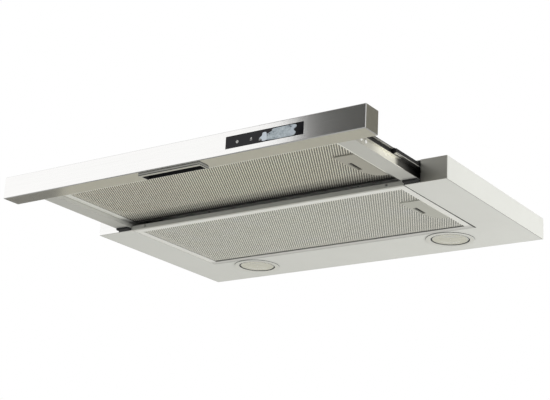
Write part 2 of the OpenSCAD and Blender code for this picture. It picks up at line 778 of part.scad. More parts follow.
// Spiral housing of the fan: floor with the inlet hole, and the spiral wall
module scroll_housing() color(plastic_grey) {
    difference() {
        linear_extrude(height = scroll_floor) polygon(concat(scroll_curve(scroll_t),
            [[outlet_out_x - scroll_t, outlet_y], [outlet_in_x + scroll_t, outlet_y]]));
        drum(wheel_at, inlet_r + 2, [-1, scroll_floor + 1]);
    }
    translate([0, 0, scroll_floor]) linear_extrude(height = scroll_top - scroll_floor) {
        polygon(concat(scroll_curve(0), [for (i = [scroll_steps:-1:0])
            scroll_point(scroll_turn * i / scroll_steps, scroll_t)]));
        translate([outlet_out_x - scroll_t, wheel_at[1] - 1]) square([scroll_t, outlet_l + 1]);
        translate([outlet_in_x, scroll_point(0, 0)[1]])
            square([scroll_t, outlet_y - scroll_point(0, 0)[1]]);
    }
}

motor_r = 36;
motor_wall = 2;
motor_flange_r = 47;
motor_screw_r = 42;
motor_flange_t = 2;
cover_top = scroll_top + scroll_t;
motor_z = [wheel_z0 + 24, cover_top + 18];
shaft_r = 4;
bearing_r = 11;
bearing_h = 7;
motor_screw_angles = [30, 150, 270];

// Lid of the scroll, which carries the motor
module scroll_cover() color(plastic_grey) difference() {
    translate([0, 0, scroll_top]) linear_extrude(height = scroll_t)
        polygon(concat(scroll_curve(scroll_t),
            [[outlet_out_x - scroll_t, outlet_y], [outlet_in_x + scroll_t, outlet_y]]));
    drum(wheel_at, motor_r + 1, [scroll_top - 1, cover_top + 1]);
    for (a = motor_screw_angles) drum(wheel_at + motor_screw_r * [cos(a), sin(a)], screw_r + 0.1,
        [scroll_top - 1, cover_top + 1]);
}

// Bell mouth that leads the air into the wheel
module inlet_ring() color(plastic_grey) {
    translate([wheel_at[0], wheel_at[1], scroll_floor]) rotate_extrude() {
        translate([inlet_r - 2, 0]) square([1.5, 7]);
        translate([inlet_r - 2, 0]) square([9, 1.2]);
    }
}

blade_in = wheel_r - 12;
cup_r = motor_r + 6;
cup_z0 = motor_z[0] - 4;
hub_r = 10;

// Centrifugal fan wheel: shroud ring, blades, back plate with a cup round the motor, hub
module fan_wheel() color(plastic_dark) {
    shroud_t = 1.5;
    ring(wheel_at, wheel_r, blade_in, [wheel_z0, wheel_z0 + shroud_t]);
    ring(wheel_at, wheel_r, cup_r, [wheel_z1 - shroud_t, wheel_z1]);
    ring(wheel_at, cup_r + 1.5, cup_r, [cup_z0, wheel_z1]);
    ring(wheel_at, cup_r + 1.5, shaft_r + 0.03, [cup_z0, cup_z0 + shroud_t]);
    ring(wheel_at, hub_r, shaft_r + 0.03, [cup_z0 - 10, cup_z0 + shroud_t]);
    translate([wheel_at[0], wheel_at[1], 0]) for (i = [0:blades - 1]) rotate([0, 0, 360 * i / blades])
        translate([(blade_in + wheel_r) / 2, 0, 0]) rotate([0, 0, 35])
        block([-5.4, 5.4], [-0.6, 0.6], [wheel_z0 + 0.5, wheel_z1 - 0.5]);
}

// Can of the motor with its flange and bearing seats
module motor_housing() color(dark_steel) difference() {
    union() {
        drum(wheel_at, motor_r, motor_z);
        drum(wheel_at, motor_flange_r, [cover_top, cover_top + motor_flange_t]);
    }
    difference() {
        drum(wheel_at, motor_r - motor_wall, [motor_z[0] + 2, motor_z[1] - 2]);
        drum(wheel_at, bearing_r + 2, [motor_z[0] + 1, motor_z[0] + 2 + bearing_h]);
        drum(wheel_at, bearing_r + 2, [motor_z[1] - 2 - bearing_h, motor_z[1] - 1]);
    }
    drum(wheel_at, bearing_r, [motor_z[0] + 2, motor_z[0] + 3 + bearing_h]);
    drum(wheel_at, bearing_r, [motor_z[1] - 3 - bearing_h, motor_z[1] - 2]);
    drum(wheel_at, shaft_r + 1, [motor_z[0] - 1, motor_z[1] + 1]);
    for (a = motor_screw_angles) drum(wheel_at + motor_screw_r * [cos(a), sin(a)], screw_r + 0.1,
        [cover_top - 1, cover_top + 4]);
}

stator_r = 22;

// Laminated stator
module motor_stator() color(dark_steel) {
    ring(wheel_at, motor_r - motor_wall, stator_r,
        [motor_z[0] + bearing_h + 4, motor_z[1] - bearing_h - 4]);
}

// Rotor pressed on the shaft that carries the wheel
module motor_rotor() color(bright_steel) {
    drum(wheel_at, stator_r - 0.6, [motor_z[0] + bearing_h + 4, motor_z[1] - bearing_h - 4]);
    drum(wheel_at, shaft_r, [cup_z0 - 10, motor_z[1] + 2]);
}

// Two bearings of the shaft
module motor_bearings() color(bright_steel) {
    for (z = [motor_z[0] + 2, motor_z[1] - 2 - bearing_h])
        ring(wheel_at, bearing_r, shaft_r + 0.03, [z, z + bearing_h]);
}

collar_screws = [45, 135, 225, 315];
collar_screw_r = duct_r + 7;

// Screws of the casing, the motor and the duct collar
module blower_screws() color(bright_steel) {
    for (p = screw_flange) fixing_screw(p, casing_t, -1.6);
    for (a = motor_screw_angles) fixing_screw(wheel_at + motor_screw_r * [cos(a), sin(a)],
        cover_top + motor_flange_t, scroll_top - 1);
    for (a = collar_screws) fixing_screw(collar_at + collar_screw_r * [cos(a), sin(a)],
        casing_h + casing_t + flange_t, casing_h - 2);
}

// A pan-head screw whose head sits at height z and whose tip is at tip
module fixing_screw(at, z, tip) {
    drum(at, screw_head_r + 0.5, [z, z + screw_head_t]);
    drum(at, screw_r, [tip, z]);
}

// ---------------------------------------------------------------- duct collar

flange_t = 1.5;
collar_z0 = casing_h + casing_t;
collar_wall = 1.8;
collar_in_r = duct_r - collar_wall;
stop_z = collar_z0 + 6;
stop_t = 1.5;
flap_t = 1;
flap_z0 = stop_z + stop_t + clear;
pin_r = 1;
barrel_r = 2.2;
pin_z = flap_z0 + barrel_r;
flap_r = collar_in_r - 1.2;

// Collar for the exhaust duct with the stop ring for its two flaps
module duct_collar() color(plastic_dark) difference() {
    union() {
        ring(collar_at, duct_r + 11, collar_in_r, [collar_z0, collar_z0 + flange_t]);
        ring(collar_at, duct_r, collar_in_r, [collar_z0, collar_z0 + duct_h]);
        ring(collar_at, collar_in_r + 0.5, collar_in_r - 4, [stop_z, stop_z + stop_t]);
    }
    rod_x([-duct_r - 1, duct_r + 1], collar_at[1], pin_z, pin_r + 0.03);
    for (a = collar_screws) drum(collar_at + collar_screw_r * [cos(a), sin(a)], screw_r + 0.1,
        [collar_z0 - 1, collar_z0 + flange_t + 1]);
}

// Rod that both flaps turn on
module flap_pin() color(bright_steel) {
    rod_x([-duct_r + 0.3, duct_r - 0.3], collar_at[1], pin_z, pin_r);
}

// Half-round flap; side is 1 behind the pin and -1 in front of it, barrels lists its spans along X
module flap(side, barrels) color(plastic_grey) translate([0, collar_at[1], 0]) difference() {
    union() {
        intersection() {
            drum([0, 0], flap_r, [flap_z0, flap_z0 + flap_t]);
            block([-flap_r, flap_r], side > 0 ? [barrel_r + 0.3, flap_r] : [-flap_r, -barrel_r - 0.3],
                [flap_z0, flap_z0 + flap_t]);
        }
        for (b = barrels) {
            rod_x(b, 0, pin_z, barrel_r);
            block(b, side > 0 ? [0, barrel_r + 1] : [-barrel_r - 1, 0], [flap_z0, flap_z0 + flap_t]);
        }
    }
    rod_x([-duct_r, duct_r], 0, pin_z, pin_r + 0.05);
}
module flap_front() flap(-1, [[-30, -10], [10, 30]]);
module flap_rear() flap(1, [[-8, 8], [-50, -32], [32, 50]]);

// ---------------------------------------------------------------- controls on the slab

box_gap = 8;
box_rear = 45;
box_x = [-casing_x - casing_flange - box_gap - box_w, -casing_x - casing_flange - box_gap];
box_y = [rear_y - box_rear - box_d, rear_y - box_rear];
box_t = 1.8;
post_r = 3;
post_inset = 12;
board_up = 8;
board_gap = 6;
gland_room = 24;
gland_r = 6;
gland_nut_r = 9;
gland_at = [box_x[0] + 25, box_h / 2];
gland_bore_r = 3.6;
gland_l = 14;
gland_in = 3;

// Box for the mains electronics beside the blower, with the gland's hole in its rear wall
module control_box() color(plastic_grey) {
    difference() {
        block(box_x, box_y, [0, box_h]);
        block(box_x + [box_t, -box_t], box_y + [box_t, -box_t], [box_t, box_h + 1]);
        rod_y([box_y[1] - box_t - 1, box_y[1] + 1], gland_at[0], gland_at[1], gland_r + 0.1);
    }
    for (x = [box_x[0] + post_inset, box_x[1] - post_inset],
        y = [box_y[0] + post_inset, box_y[1] - gland_room - post_inset / 2])
        drum([x, y], post_r, [box_t, board_up]);
}

lid_rim_h = 3;

// Lid of the box, with a rim that fits inside it
module control_lid() color(plastic_grey) {
    outer = [box_t + 0.2, -box_t - 0.2];
    inner = [2 * box_t + 0.2, -2 * box_t - 0.2];
    block(box_x, box_y, [box_h, box_h + box_t]);
    difference() {
        block(box_x + outer, box_y + outer, [box_h - lid_rim_h, box_h]);
        block(box_x + inner, box_y + inner, [box_h - lid_rim_h - 1, box_h]);
    }
}

capacitor_r = 12;
capacitor_l = 50;
transformer = [35, 36, 22];
relay = [12, 20, 15];
relays = 3;
terminals = [36, 14, 12];
board_x = box_x + [board_gap, -board_gap];
board_y = [box_y[0] + board_gap, box_y[1] - gland_room];
board_top = board_up + board_t;

// Circuit board with the run capacitor, transformer, relays and terminal block
module mains_board() color(board_green) {
    block(board_x, board_y, [board_up, board_top]);
    capacitor_x = board_x[0] + capacitor_r + 4;
    rod_y([board_y[0] + 6, board_y[0] + 6 + capacitor_l], capacitor_x,
        board_top + capacitor_r - 0.5, capacitor_r);
    translate([board_x[1] - transformer[0] - 8, board_y[0] + 6, board_top]) cube(transformer);
    for (i = [1:relays])
        translate([board_x[1] - i * (relay[0] + 4), board_y[0] + transformer[1] + 16, board_top])
        cube(relay);
    translate([board_x[0] + 6, board_y[1] - terminals[1] - 4, board_top]) cube(terminals);
}

// Gland for the mains cable, which comes from the wall
module cable_gland() color(plastic_dark) difference() {
    inner_end = box_y[1] - box_t - gland_in;
    union() {
        rod_y([inner_end, box_y[1] + gland_l], gland_at[0], gland_at[1], gland_r);
        rod_y([box_y[1], box_y[1] + gland_in], gland_at[0], gland_at[1], gland_nut_r);
        rod_y([inner_end, box_y[1] - box_t], gland_at[0], gland_at[1], gland_nut_r - 1);
    }
    rod_y([inner_end - 1, box_y[1] + gland_l + 1], gland_at[0], gland_at[1], gland_bore_r);
}

// ---------------------------------------------------------------- drawer switch

switch_w = 6;
switch_d = 20;
switch_x = [-web_x + 21, -web_x + 21 + switch_w];
switch_front = member_end_shut + 7;
lever_top = -3;
lever_pin = [back(switch_front - 1.8), lever_top];
lever_t = 0.6;
lever_foot_h = bar_h0 + 1;

// Switch that tells the controls that the drawer is open, with ears for its lever
module microswitch() color(plastic_dark) {
    block(switch_x, [back(switch_front), back(switch_front + switch_d)], [up(bar_h0 - 1), ceiling_z]);
    for (x = [switch_x[0], switch_x[1] - 1]) block([x, x + 1],
        [back(switch_front - 2.8), back(switch_front)], [lever_top - 1.2, ceiling_z]);
    rod_x([switch_x[0] + 0.5, switch_x[1] - 0.5], lever_pin[0], lever_pin[1], 0.6);
}

// Sprung lever that the drawer's rear bar reaches when the drawer is shut
module switch_lever() color(bright_steel) difference() {
    x = switch_x + [1.3, -1.3];
    union() {
        rod_x(x, lever_pin[0], lever_pin[1], 1.3);
        block(x, about(lever_pin[0], lever_t / 2), [up(lever_foot_h), lever_pin[1]]);
        block(x, [back(member_end_shut + 0.6), lever_pin[0]],
            [up(lever_foot_h), up(lever_foot_h) + lever_t]);
    }
    rod_x([switch_x[0], switch_x[1]], lever_pin[0], lever_pin[1], 0.66);
}

canopy_shell();
bottom_plate();
cross_rail();
front_trim_left();
front_trim_right();
slide_brackets();
outer_rails();
middle_rail_left();
middle_rail_right();
inner_rails();
drawer_side_left();
drawer_side_right();
drawer_front_strip();
drawer_top_panel();
drawer_rear_bar();
corner_brackets();
drawer_screws();
fascia_panel();
fascia_back_plate();
fascia_bumpers();
grip_insert();
touch_glass();
touch_holder();
touch_board();
front_filter_frame();
front_filter_mesh();
front_catch_plate();
front_catch_slider();
front_catch_spring();
rear_filter_frame();
rear_filter_mesh();
rear_catch_plate();
rear_catch_slider();
rear_catch_spring();
lamp_bezels();
lamp_lenses();
lamp_modules();
blower_casing();
casing_cover();
blower_screws();
scroll_housing();
scroll_cover();
inlet_ring();
fan_wheel();
motor_housing();
motor_stator();
motor_rotor();
motor_bearings();
duct_collar();
flap_front();
flap_rear();
flap_pin();
control_box();
control_lid();
mains_board();
cable_gland();
microswitch();
switch_lever();
cabinet_nuts();
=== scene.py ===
import json
import math

import bmesh
import bpy
import numpy as np
from mathutils import Matrix, Vector

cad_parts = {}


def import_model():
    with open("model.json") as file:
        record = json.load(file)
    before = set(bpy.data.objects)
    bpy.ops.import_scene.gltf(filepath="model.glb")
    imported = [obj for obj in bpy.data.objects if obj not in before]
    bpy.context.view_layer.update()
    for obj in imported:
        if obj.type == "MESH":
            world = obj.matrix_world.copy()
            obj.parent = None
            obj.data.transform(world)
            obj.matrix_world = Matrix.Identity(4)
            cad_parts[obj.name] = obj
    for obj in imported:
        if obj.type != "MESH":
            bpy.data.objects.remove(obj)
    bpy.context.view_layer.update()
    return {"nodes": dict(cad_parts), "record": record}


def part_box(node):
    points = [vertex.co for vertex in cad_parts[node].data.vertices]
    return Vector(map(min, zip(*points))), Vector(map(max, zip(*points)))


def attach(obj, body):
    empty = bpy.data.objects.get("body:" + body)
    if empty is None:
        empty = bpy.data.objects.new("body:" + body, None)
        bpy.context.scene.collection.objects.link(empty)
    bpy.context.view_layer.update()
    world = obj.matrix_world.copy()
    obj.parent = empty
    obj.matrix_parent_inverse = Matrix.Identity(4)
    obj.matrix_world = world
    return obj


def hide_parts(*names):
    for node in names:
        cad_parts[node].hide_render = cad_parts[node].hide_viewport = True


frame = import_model()
nodes = frame["nodes"]
scene = bpy.context.scene
scene.view_settings.view_transform = "Standard"

MM = 0.001


# ------------------------------------------------------------------ materials

def tint(rgb, share):
    """The colour made lighter or darker."""
    return tuple(min(1.0, c * share) for c in rgb)


class Shader:
    """A procedural material: a Principled shader with the textures that are added to it."""

    def __init__(self, name, metallic=0.0, roughness=0.5, **sockets):
        self.mat = bpy.data.materials.new(name)
        self.mat.use_nodes = True
        self.tree = self.mat.node_tree
        self.tree.nodes.clear()
        out = self.node("OutputMaterial")
        self.bsdf = self.node("BsdfPrincipled")
        self.link(self.bsdf, 0, out, "Surface")
        self.bsdf.inputs["Metallic"].default_value = metallic
        self.bsdf.inputs["Roughness"].default_value = roughness
        for key, value in sockets.items():
            self.bsdf.inputs[key.replace("_", " ")].default_value = value
        self.coord = self.node("TexCoord")

    def node(self, kind, **props):
        n = self.tree.nodes.new("ShaderNode" + kind)
        for key, value in props.items():
            setattr(n, key, value)
        return n

    def link(self, a, out, b, into):
        self.tree.links.new(a.outputs[out], b.inputs[into])

    def place(self, scale):
        """The object's own coordinates times scale: one number, or one for each axis."""
        m = self.node("Mapping")
        m.inputs["Scale"].default_value = [scale] * 3 if isinstance(scale, (int, float)) else scale
        self.link(self.coord, "Object", m, "Vector")
        return m

    def noise(self, scale, detail=2.0, rough=0.5, distort=0.0):
        n = self.node("TexNoise")
        n.inputs["Scale"].default_value = 1.0
        n.inputs["Detail"].default_value = detail
        n.inputs["Roughness"].default_value = rough
        n.inputs["Distortion"].default_value = distort
        self.link(self.place(scale), 0, n, "Vector")
        return n, "Fac"

    def cells(self, scale, out="Distance"):
        n = self.node("TexVoronoi")
        n.inputs["Scale"].default_value = 1.0
        self.link(self.place(scale), 0, n, "Vector")
        return n, out

    def blend(self, a, b, share):
        """Two textures added up, the second with the given share."""
        n = self.node("Math", operation="MULTIPLY_ADD")
        self.link(*a, n, 0)
        n.inputs[1].default_value = 1 - share
        m = self.node("Math", operation="MULTIPLY")
        self.link(*b, m, 0)
        m.inputs[1].default_value = share
        self.link(m, 0, n, 2)
        return n, 0

    def colour(self, source, stops):
        """The base colour from a ramp over the texture: stops are (place, colour) pairs."""
        ramp = self.node("ValToRGB")
        fill_ramp(ramp, [(at, (*rgb, 1)) for at, rgb in stops])
        self.link(*source, ramp, "Fac")
        self.link(ramp, "Color", self.bsdf, "Base Color")

    def tones(self, source, rgb, *stops):
        """The base colour in lighter and darker tones: stops are (place, share) pairs."""
        self.colour(source, [(at, tint(rgb, share)) for at, share in stops])

    def roughness(self, source, low, high):
        """Roughness from low to high over the part of its range that a texture uses most."""
        n = self.node("MapRange")
        n.inputs["From Min"].default_value, n.inputs["From Max"].default_value = 0.3, 0.7
        n.inputs["To Min"].default_value, n.inputs["To Max"].default_value = low, high
        self.link(*source, n, "Value")
        self.link(n, "Result", self.bsdf, "Roughness")

    def bump(self, source, distance, strength):
        n = self.node("Bump")
        n.inputs["Distance"].default_value = distance
        n.inputs["Strength"].default_value = strength
        self.link(*source, n, "Height")
        self.link(n, "Normal", self.bsdf, "Normal")


def fill_ramp(ramp, stops):
    elements = ramp.color_ramp.elements
    while len(elements) < len(stops):
        elements.new(0.5)
    for item, (at, rgba) in zip(elements, stops):
        item.position, item.color = at, rgba


def stretched(across, along, axis):
    """The scale of a texture that is drawn out along one axis."""
    scale = [across] * 3
    scale[axis] = along
    return scale


def painted(name, rgb, rough=0.42):
    """Satin powder coat: fine orange peel, a faint cloud in tone and gloss."""
    s = Shader(name, roughness=rough, Specular_IOR_Level=0.35)
    peel = s.noise(1500, detail=3, rough=0.55)
    cloud = s.noise(9, detail=3, rough=0.6)
    grain = s.noise(4200, detail=1)
    tone = s.blend(cloud, grain, 0.35)
    s.tones(tone, rgb, (0.30, 0.955), (0.5, 1), (0.72, 1.03))
    s.roughness(s.blend(cloud, peel, 0.5), rough - 0.06, rough + 0.08)
    s.bump(peel, 0.00006, 0.5)
    return s.mat


def brushed(name, rgb, along, rough=0.1, depth=0.000012, contrast=0.045):
    """Brushed stainless steel: long fine scratches along one axis, with a faint cloud."""
    s = Shader(name, metallic=1.0, roughness=rough)
    lines = s.noise(stretched(2600.0, 14.0, along), detail=4, rough=0.6)
    bands = s.noise(stretched(520.0, 5.0, along), detail=3, rough=0.55)
    cloud = s.noise(5, detail=2)
    mix = s.blend(s.blend(lines, bands, 0.3), cloud, 0.2)
    s.tones(mix, rgb, (0.32, 1 - contrast), (0.5, 1), (0.68, 1 + contrast))
    s.roughness(mix, rough - 0.02, rough + 0.04)
    s.bump(s.blend(lines, bands, 0.15), depth, 0.35)
    return s.mat


def metal(name, rgb, rough=0.3, grain=900.0, contrast=0.06, depth=0.00004):
    """Plain bright or satin metal: rolling grain, clouds of tone and gloss, small dents."""
    s = Shader(name, metallic=1.0, roughness=rough)
    spots = s.noise(grain, detail=4, rough=0.62)
    cloud = s.noise(25, detail=3)
    tone = s.blend(spots, cloud, 0.45)
    s.tones(tone, rgb, (0.3, 1 - contrast), (0.5, 1), (0.7, 1 + contrast))
    s.roughness(tone, rough - 0.07, rough + 0.1)
    s.bump(spots, depth, 0.4)
    return s.mat


def satin(name, rgb, along, rough=0.42):
    """Satin zinc plated sheet: rolling lines along one axis, soft gloss."""
    s = Shader(name, metallic=0.35, roughness=rough)
    lines = s.noise(stretched(1900.0, 20.0, along), detail=3)
    cloud = s.noise(14, detail=3)
    tone = s.blend(lines, cloud, 0.4)
    s.tones(tone, rgb, (0.32, 0.95), (0.5, 1), (0.68, 1.04))
    s.roughness(tone, rough - 0.07, rough + 0.08)
    s.bump(lines, 0.00001, 0.4)
    return s.mat


def painted_light_ramp(mat, stops, axis="Y"):
    """The same finish, its tone scaled along one axis to paint light and shade: stops are (place in
    metres, share) pairs.
    """
    m = mat.copy()
    m.name = mat.name + "_faded"
    t = m.node_tree
    bsdf = next(n for n in t.nodes if n.type == "BSDF_PRINCIPLED")
    source = bsdf.inputs["Base Color"].links[0].from_socket
    coord, split = t.nodes.new("ShaderNodeTexCoord"), t.nodes.new("ShaderNodeSeparateXYZ")
    t.links.new(coord.outputs["Object"], split.inputs[0])
    along = t.nodes.new("ShaderNodeMapRange")
    start, end = stops[0][0], stops[-1][0]
    along.inputs["From Min"].default_value = start
    along.inputs["From Max"].default_value = end
    t.links.new(split.outputs[axis], along.inputs["Value"])
    ramp = t.nodes.new("ShaderNodeValToRGB")
    ramp.color_ramp.interpolation = "EASE"
    fill_ramp(ramp, [((place - start) / (end - start), (share, share, share, 1))
                     for place, share in stops])
    t.links.new(along.outputs["Result"], ramp.inputs["Fac"])
    mix = t.nodes.new("ShaderNodeVectorMath")
    mix.operation = "MULTIPLY"
    t.links.new(source, mix.inputs[0])
    t.links.new(ramp.outputs["Color"], mix.inputs[1])
    t.links.new(mix.outputs["Vector"], bsdf.inputs["Base Color"])
    return m


def galvanised(name, rgb):
    """Zinc coated sheet: spangles of slightly different tone and gloss."""
    s = Shader(name, metallic=0.75, roughness=0.45)
    spangle = s.cells(170, out="Color")
    grey = s.node("RGBToBW")
    s.link(spangle[0], "Color", grey, "Color")
    fine = s.noise(1300, detail=3)
    tone = s.blend((grey, "Val"), fine, 0.35)
    s.tones(tone, rgb, (0.2, 0.86), (0.5, 1), (0.8, 1.10))
    s.roughness(tone, 0.36, 0.58)
    s.bump(fine, 0.00003, 0.35)
    return s.mat


def moulded(name, rgb, rough=0.5, spark=1500.0):
    """Moulded plastic: spark-eroded texture and slow flow marks."""
    s = Shader(name, roughness=rough)
    fine = s.noise(spark, detail=3, rough=0.6)
    flow = s.noise((30, 12, 30), detail=2, distort=0.6)
    tone = s.blend(fine, flow, 0.4)
    s.tones(tone, rgb, (0.3, 0.85), (0.5, 1), (0.72, 1.18))
    s.roughness(tone, rough - 0.08, rough + 0.12)
    s.bump(fine, 0.00005, 0.6)
    return s.mat


def circuit_board(name):
    """Green solder mask with lighter copper tracks under it."""
    s = Shader(name, roughness=0.32)
    tracks = s.node("TexBrick", offset=0.5)
    tracks.inputs["Scale"].default_value = 1.0
    tracks.inputs["Mortar Size"].default_value = 0.08
    for socket, rgba in (("Color1", (0.012, 0.085, 0.040, 1)), ("Color2", (0.016, 0.11, 0.050, 1)),
                         ("Mortar", (0.05, 0.26, 0.12, 1))):
        tracks.inputs[socket].default_value = rgba
    s.link(s.place(260), 0, tracks, "Vector")
    s.link(tracks, "Color", s.bsdf, "Base Color")
    fine = s.noise(900, detail=2)
    s.roughness(fine, 0.26, 0.42)
    s.bump((tracks, "Fac"), 0.00005, 0.5)
    return s.mat


def black_glass(name):
    """Black back-printed glass: mirror gloss with a trace of smears."""
    s = Shader(name, roughness=0.06, Specular_IOR_Level=0.16)
    smear = s.noise((45, 200, 60), detail=4, rough=0.6, distort=0.8)
    s.tones(smear, (0.006, 0.006, 0.008), (0.3, 0.8), (0.7, 1.6))
    s.roughness(smear, 0.04, 0.12)
    s.bump(smear, 0.00001, 0.15)
    return s.mat


def frosted(name):
    """Pressed lens glass: small dimples and a fine grain that spread the light."""
    s = Shader(name, roughness=0.14, IOR=1.3, Transmission_Weight=0.55)
    grain = s.noise(1600, detail=2)
    dots = s.cells(620)
    s.colour(grain, [(0.35, (0.36, 0.37, 0.335)), (0.65, (0.48, 0.49, 0.45))])
    s.roughness(grain, 0.06, 0.22)
    s.bump(s.blend(dots, grain, 0.3), 0.00006, 0.4)
    return s.mat


# Painted light and shade, as tone shares along the depth, and for the grip along the height: painted
# shade where parts go into the slab, a painted highlight on the drawer's web, a painted shadow line along
# the grip's lower edge
SIDE_SHADE = [(-0.345, 1.0), (-0.22, 1.0), (-0.17, 0.82), (-0.14, 0.6)]
WEB_HIGHLIGHT_AND_SHADE = [(-0.342, 0.42), (-0.305, 0.46), (-0.268, 0.64), (-0.236, 1.0), (-0.206, 1.0),
            (-0.192, 0.12), (-0.160, 0.02)]
FRONT_MESH_SHADE = [(-0.34, 1.0), (-0.195, 0.95), (-0.176, 0.62), (-0.164, 0.25), (-0.156, 0.06)]
FRONT_FRAME_SHADE = [(-0.34, 1.0), (-0.19, 0.9), (-0.170, 0.25), (-0.160, 0.03)]
REAR_FRAME_SHADE = [(-0.15, 1.0), (0.040, 1.0), (0.048, 0.72), (0.057, 0.66)]
GRIP_SHADOW_LINE = [(-0.0362, 0.10), (-0.0352, 0.12), (-0.0347, 1.0), (-0.0336, 1.0)]

# One material for each material slot of the record
MATERIALS = {
    "painted_grey": painted("painted_grey", (0.735, 0.74, 0.695)),
    "galvanised": galvanised("galvanised", (0.56, 0.57, 0.57)),
    "brushed_steel": brushed("brushed_steel", (0.576, 0.573, 0.566), 0),
    "dark_sheet": painted("dark_sheet", (0.020, 0.020, 0.020), 0.5),
    "rail_steel": painted("rail_steel", (0.010, 0.010, 0.010), 0.45),
    "bright_steel": metal("bright_steel", (0.66, 0.66, 0.65), 0.2),
    "filter_frame": satin("filter_frame", (0.94, 0.94, 0.90), 0, rough=0.45),
    "filter_mesh": metal("filter_mesh", (1.0, 0.995, 0.92), 0.42, grain=500),
    "lamp_ring": satin("lamp_ring", (0.74, 0.745, 0.71), 0, rough=0.32),
    # The drawer sides carry painted shade: their tone falls towards the rear, where they go into the
    # slab.
    "side_steel": painted_light_ramp(satin("side_steel", (0.60, 0.60, 0.56), 1), SIDE_SHADE),
    "lamp_glass": frosted("lamp_glass"),
    "touch_glass": black_glass("touch_glass"),
    "black_plastic": moulded("black_plastic", (0.018, 0.018, 0.019), 0.46),
    "grey_plastic": moulded("grey_plastic", (0.21, 0.21, 0.215), 0.5),
    "board": circuit_board("board"),
    "rubber": moulded("rubber", (0.012, 0.012, 0.012), 0.75, spark=800),
    "motor_steel": brushed("motor_steel", (0.30, 0.30, 0.30), 0, rough=0.4),
}

# Finishes of single pieces
catch_metal = satin("catch_metal", (0.54, 0.54, 0.485), 1, rough=0.45)
# The front catch plate is a darker copy of the rear one: painted shade, as the front filter sits deeper.
front_catch = satin("front_catch", (0.445, 0.43, 0.37), 1, rough=0.45)
# The drawer sides' outer web: satin zinc, its cream tone and its ramp along the depth paint a highlight
# in the middle and shade at the front and rear.
web_zinc_painted_light = painted_light_ramp(satin("web_zinc_painted_light", (0.97, 0.95, 0.85), 1, rough=0.4), WEB_HIGHLIGHT_AND_SHADE)
# The right trim's steel is darker than the left trim's: painted shade for the dark surroundings it
# reflects.
trim_steel_shaded = metal("trim_steel_shaded", (0.33, 0.325, 0.295), 0.38, contrast=0.03, depth=0.000006)
screw_zinc = satin("screw_zinc", (0.97, 0.97, 0.95), 0, rough=0.3)
# The ball cage's bright zinc: also a painted highlight along the middle rail's lower edge.
cage_zinc_highlight = metal("cage_zinc_highlight", (0.86, 0.86, 0.85), 0.3)
# The cross rail: satin zinc, its tone lowered below the slab's paint to paint the shade it hangs in under
# the drawer.
rail_front = satin("rail_front", (0.58, 0.585, 0.54), 0, rough=0.38)
grip_rim = satin("grip_rim", (0.52, 0.515, 0.46), 0, rough=0.35)
# The grip's outer walls fall to near black along their lowest 1.5 mm: a painted shadow line.
grip_edge = painted_light_ramp(satin("grip_edge", (0.42, 0.42, 0.385), 0, rough=0.45), GRIP_SHADOW_LINE, "Z")

for part in frame["record"]["subparts"]:
    o = nodes[part["node"]]
    o.data.materials.clear()
    o.data.materials.append(MATERIALS[part["material_slot"]])


# ------------------------------------------------------------------ pieces

def added(name, data):
    """A new object of the scene."""
    o = bpy.data.objects.new(name, data)
    scene.collection.objects.link(o)
    return o


def piece(name, verts, faces, body, slot, mat=None, smooth=False, replaces=()):
    """A visible piece of its own mesh, which rides on a body and may stand for CAD nodes."""
    mesh = bpy.data.meshes.new(name)
    mesh.from_pydata([tuple(v) for v in verts], [], [tuple(f) for f in faces])
    mesh.validate()
    mesh.update()
    o = added(name, mesh)
    if smooth:
        for p in mesh.polygons:
            p.use_smooth = True
    mesh.materials.append(mat or MATERIALS[slot])
    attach(o, body)
    if replaces:
        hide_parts(*replaces)


SAME_PLACE = 0.002 * MM               # vertices of a CAD node nearer than this are one
FLAT_CREASE = math.radians(0.4)       # its flatter creases vanish
SHARP_CREASE = math.radians(28)       # its sharper creases are rounded


def eased(node, body, slot, width, pick=None, mat=None, segments=2, paint=(), shape=None):
    """Stands for a CAD node with the same shape and small round edges, as pressed sheet has.

    pick chooses edges to round by their two ends, shape moves points before that, and paint is a
    list of (material, test of a face) pairs.
    """
    bm = bmesh.new()
    bm.from_mesh(nodes[node].data)
    bmesh.ops.remove_doubles(bm, verts=bm.verts, dist=SAME_PLACE)
    if shape:
        for v in bm.verts:
            shape(v.co)
    bmesh.ops.dissolve_limit(bm, angle_limit=FLAT_CREASE, verts=bm.verts, edges=bm.edges)
    edges = [e for e in bm.edges if len(e.link_faces) == 2 and e.calc_face_angle(0) > SHARP_CREASE
             and (pick is None or pick(e.verts[0].co, e.verts[1].co))]
    bmesh.ops.bevel(bm, geom=edges, offset=width, offset_type="OFFSET", segments=segments, profile=0.5,
                    affect="EDGES", clamp_overlap=True)
    mesh = bpy.data.meshes.new(node + "_eased")
    bm.normal_update()
    bm.to_mesh(mesh)
    bm.free()
    mesh.materials.append(mat or MATERIALS[slot])
    for k, (extra, where) in enumerate(paint, 1):
        mesh.materials.append(extra)
        for f in mesh.polygons:
            if where(f):
                f.material_index = k
    o = added(node + "_eased", mesh)
    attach(o, body)
    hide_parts(node)


def lathe(profile, centre, turns, wave=None):
    """A turned skin from (radius, height) pairs round a closed profile, about an upright axis.

    wave gives point i of the profile an extra height at step k of the turn.
    """
    verts, faces = [], []
    n = len(profile)
    for k in range(turns):
        a = 2 * math.pi * k / turns
        for i, (r, h) in enumerate(profile):
            dh = wave(i, k) if wave else 0
            verts.append((centre[0] + r * math.cos(a), centre[1] + r * math.sin(a),
                          centre[2] + h + dh))
    for k in range(turns):
        k2 = (k + 1) % turns
        for i in range(n):
            j = (i + 1) % n
            faces.append((k * n + i, k * n + j, k2 * n + j, k2 * n + i))
    return verts, faces


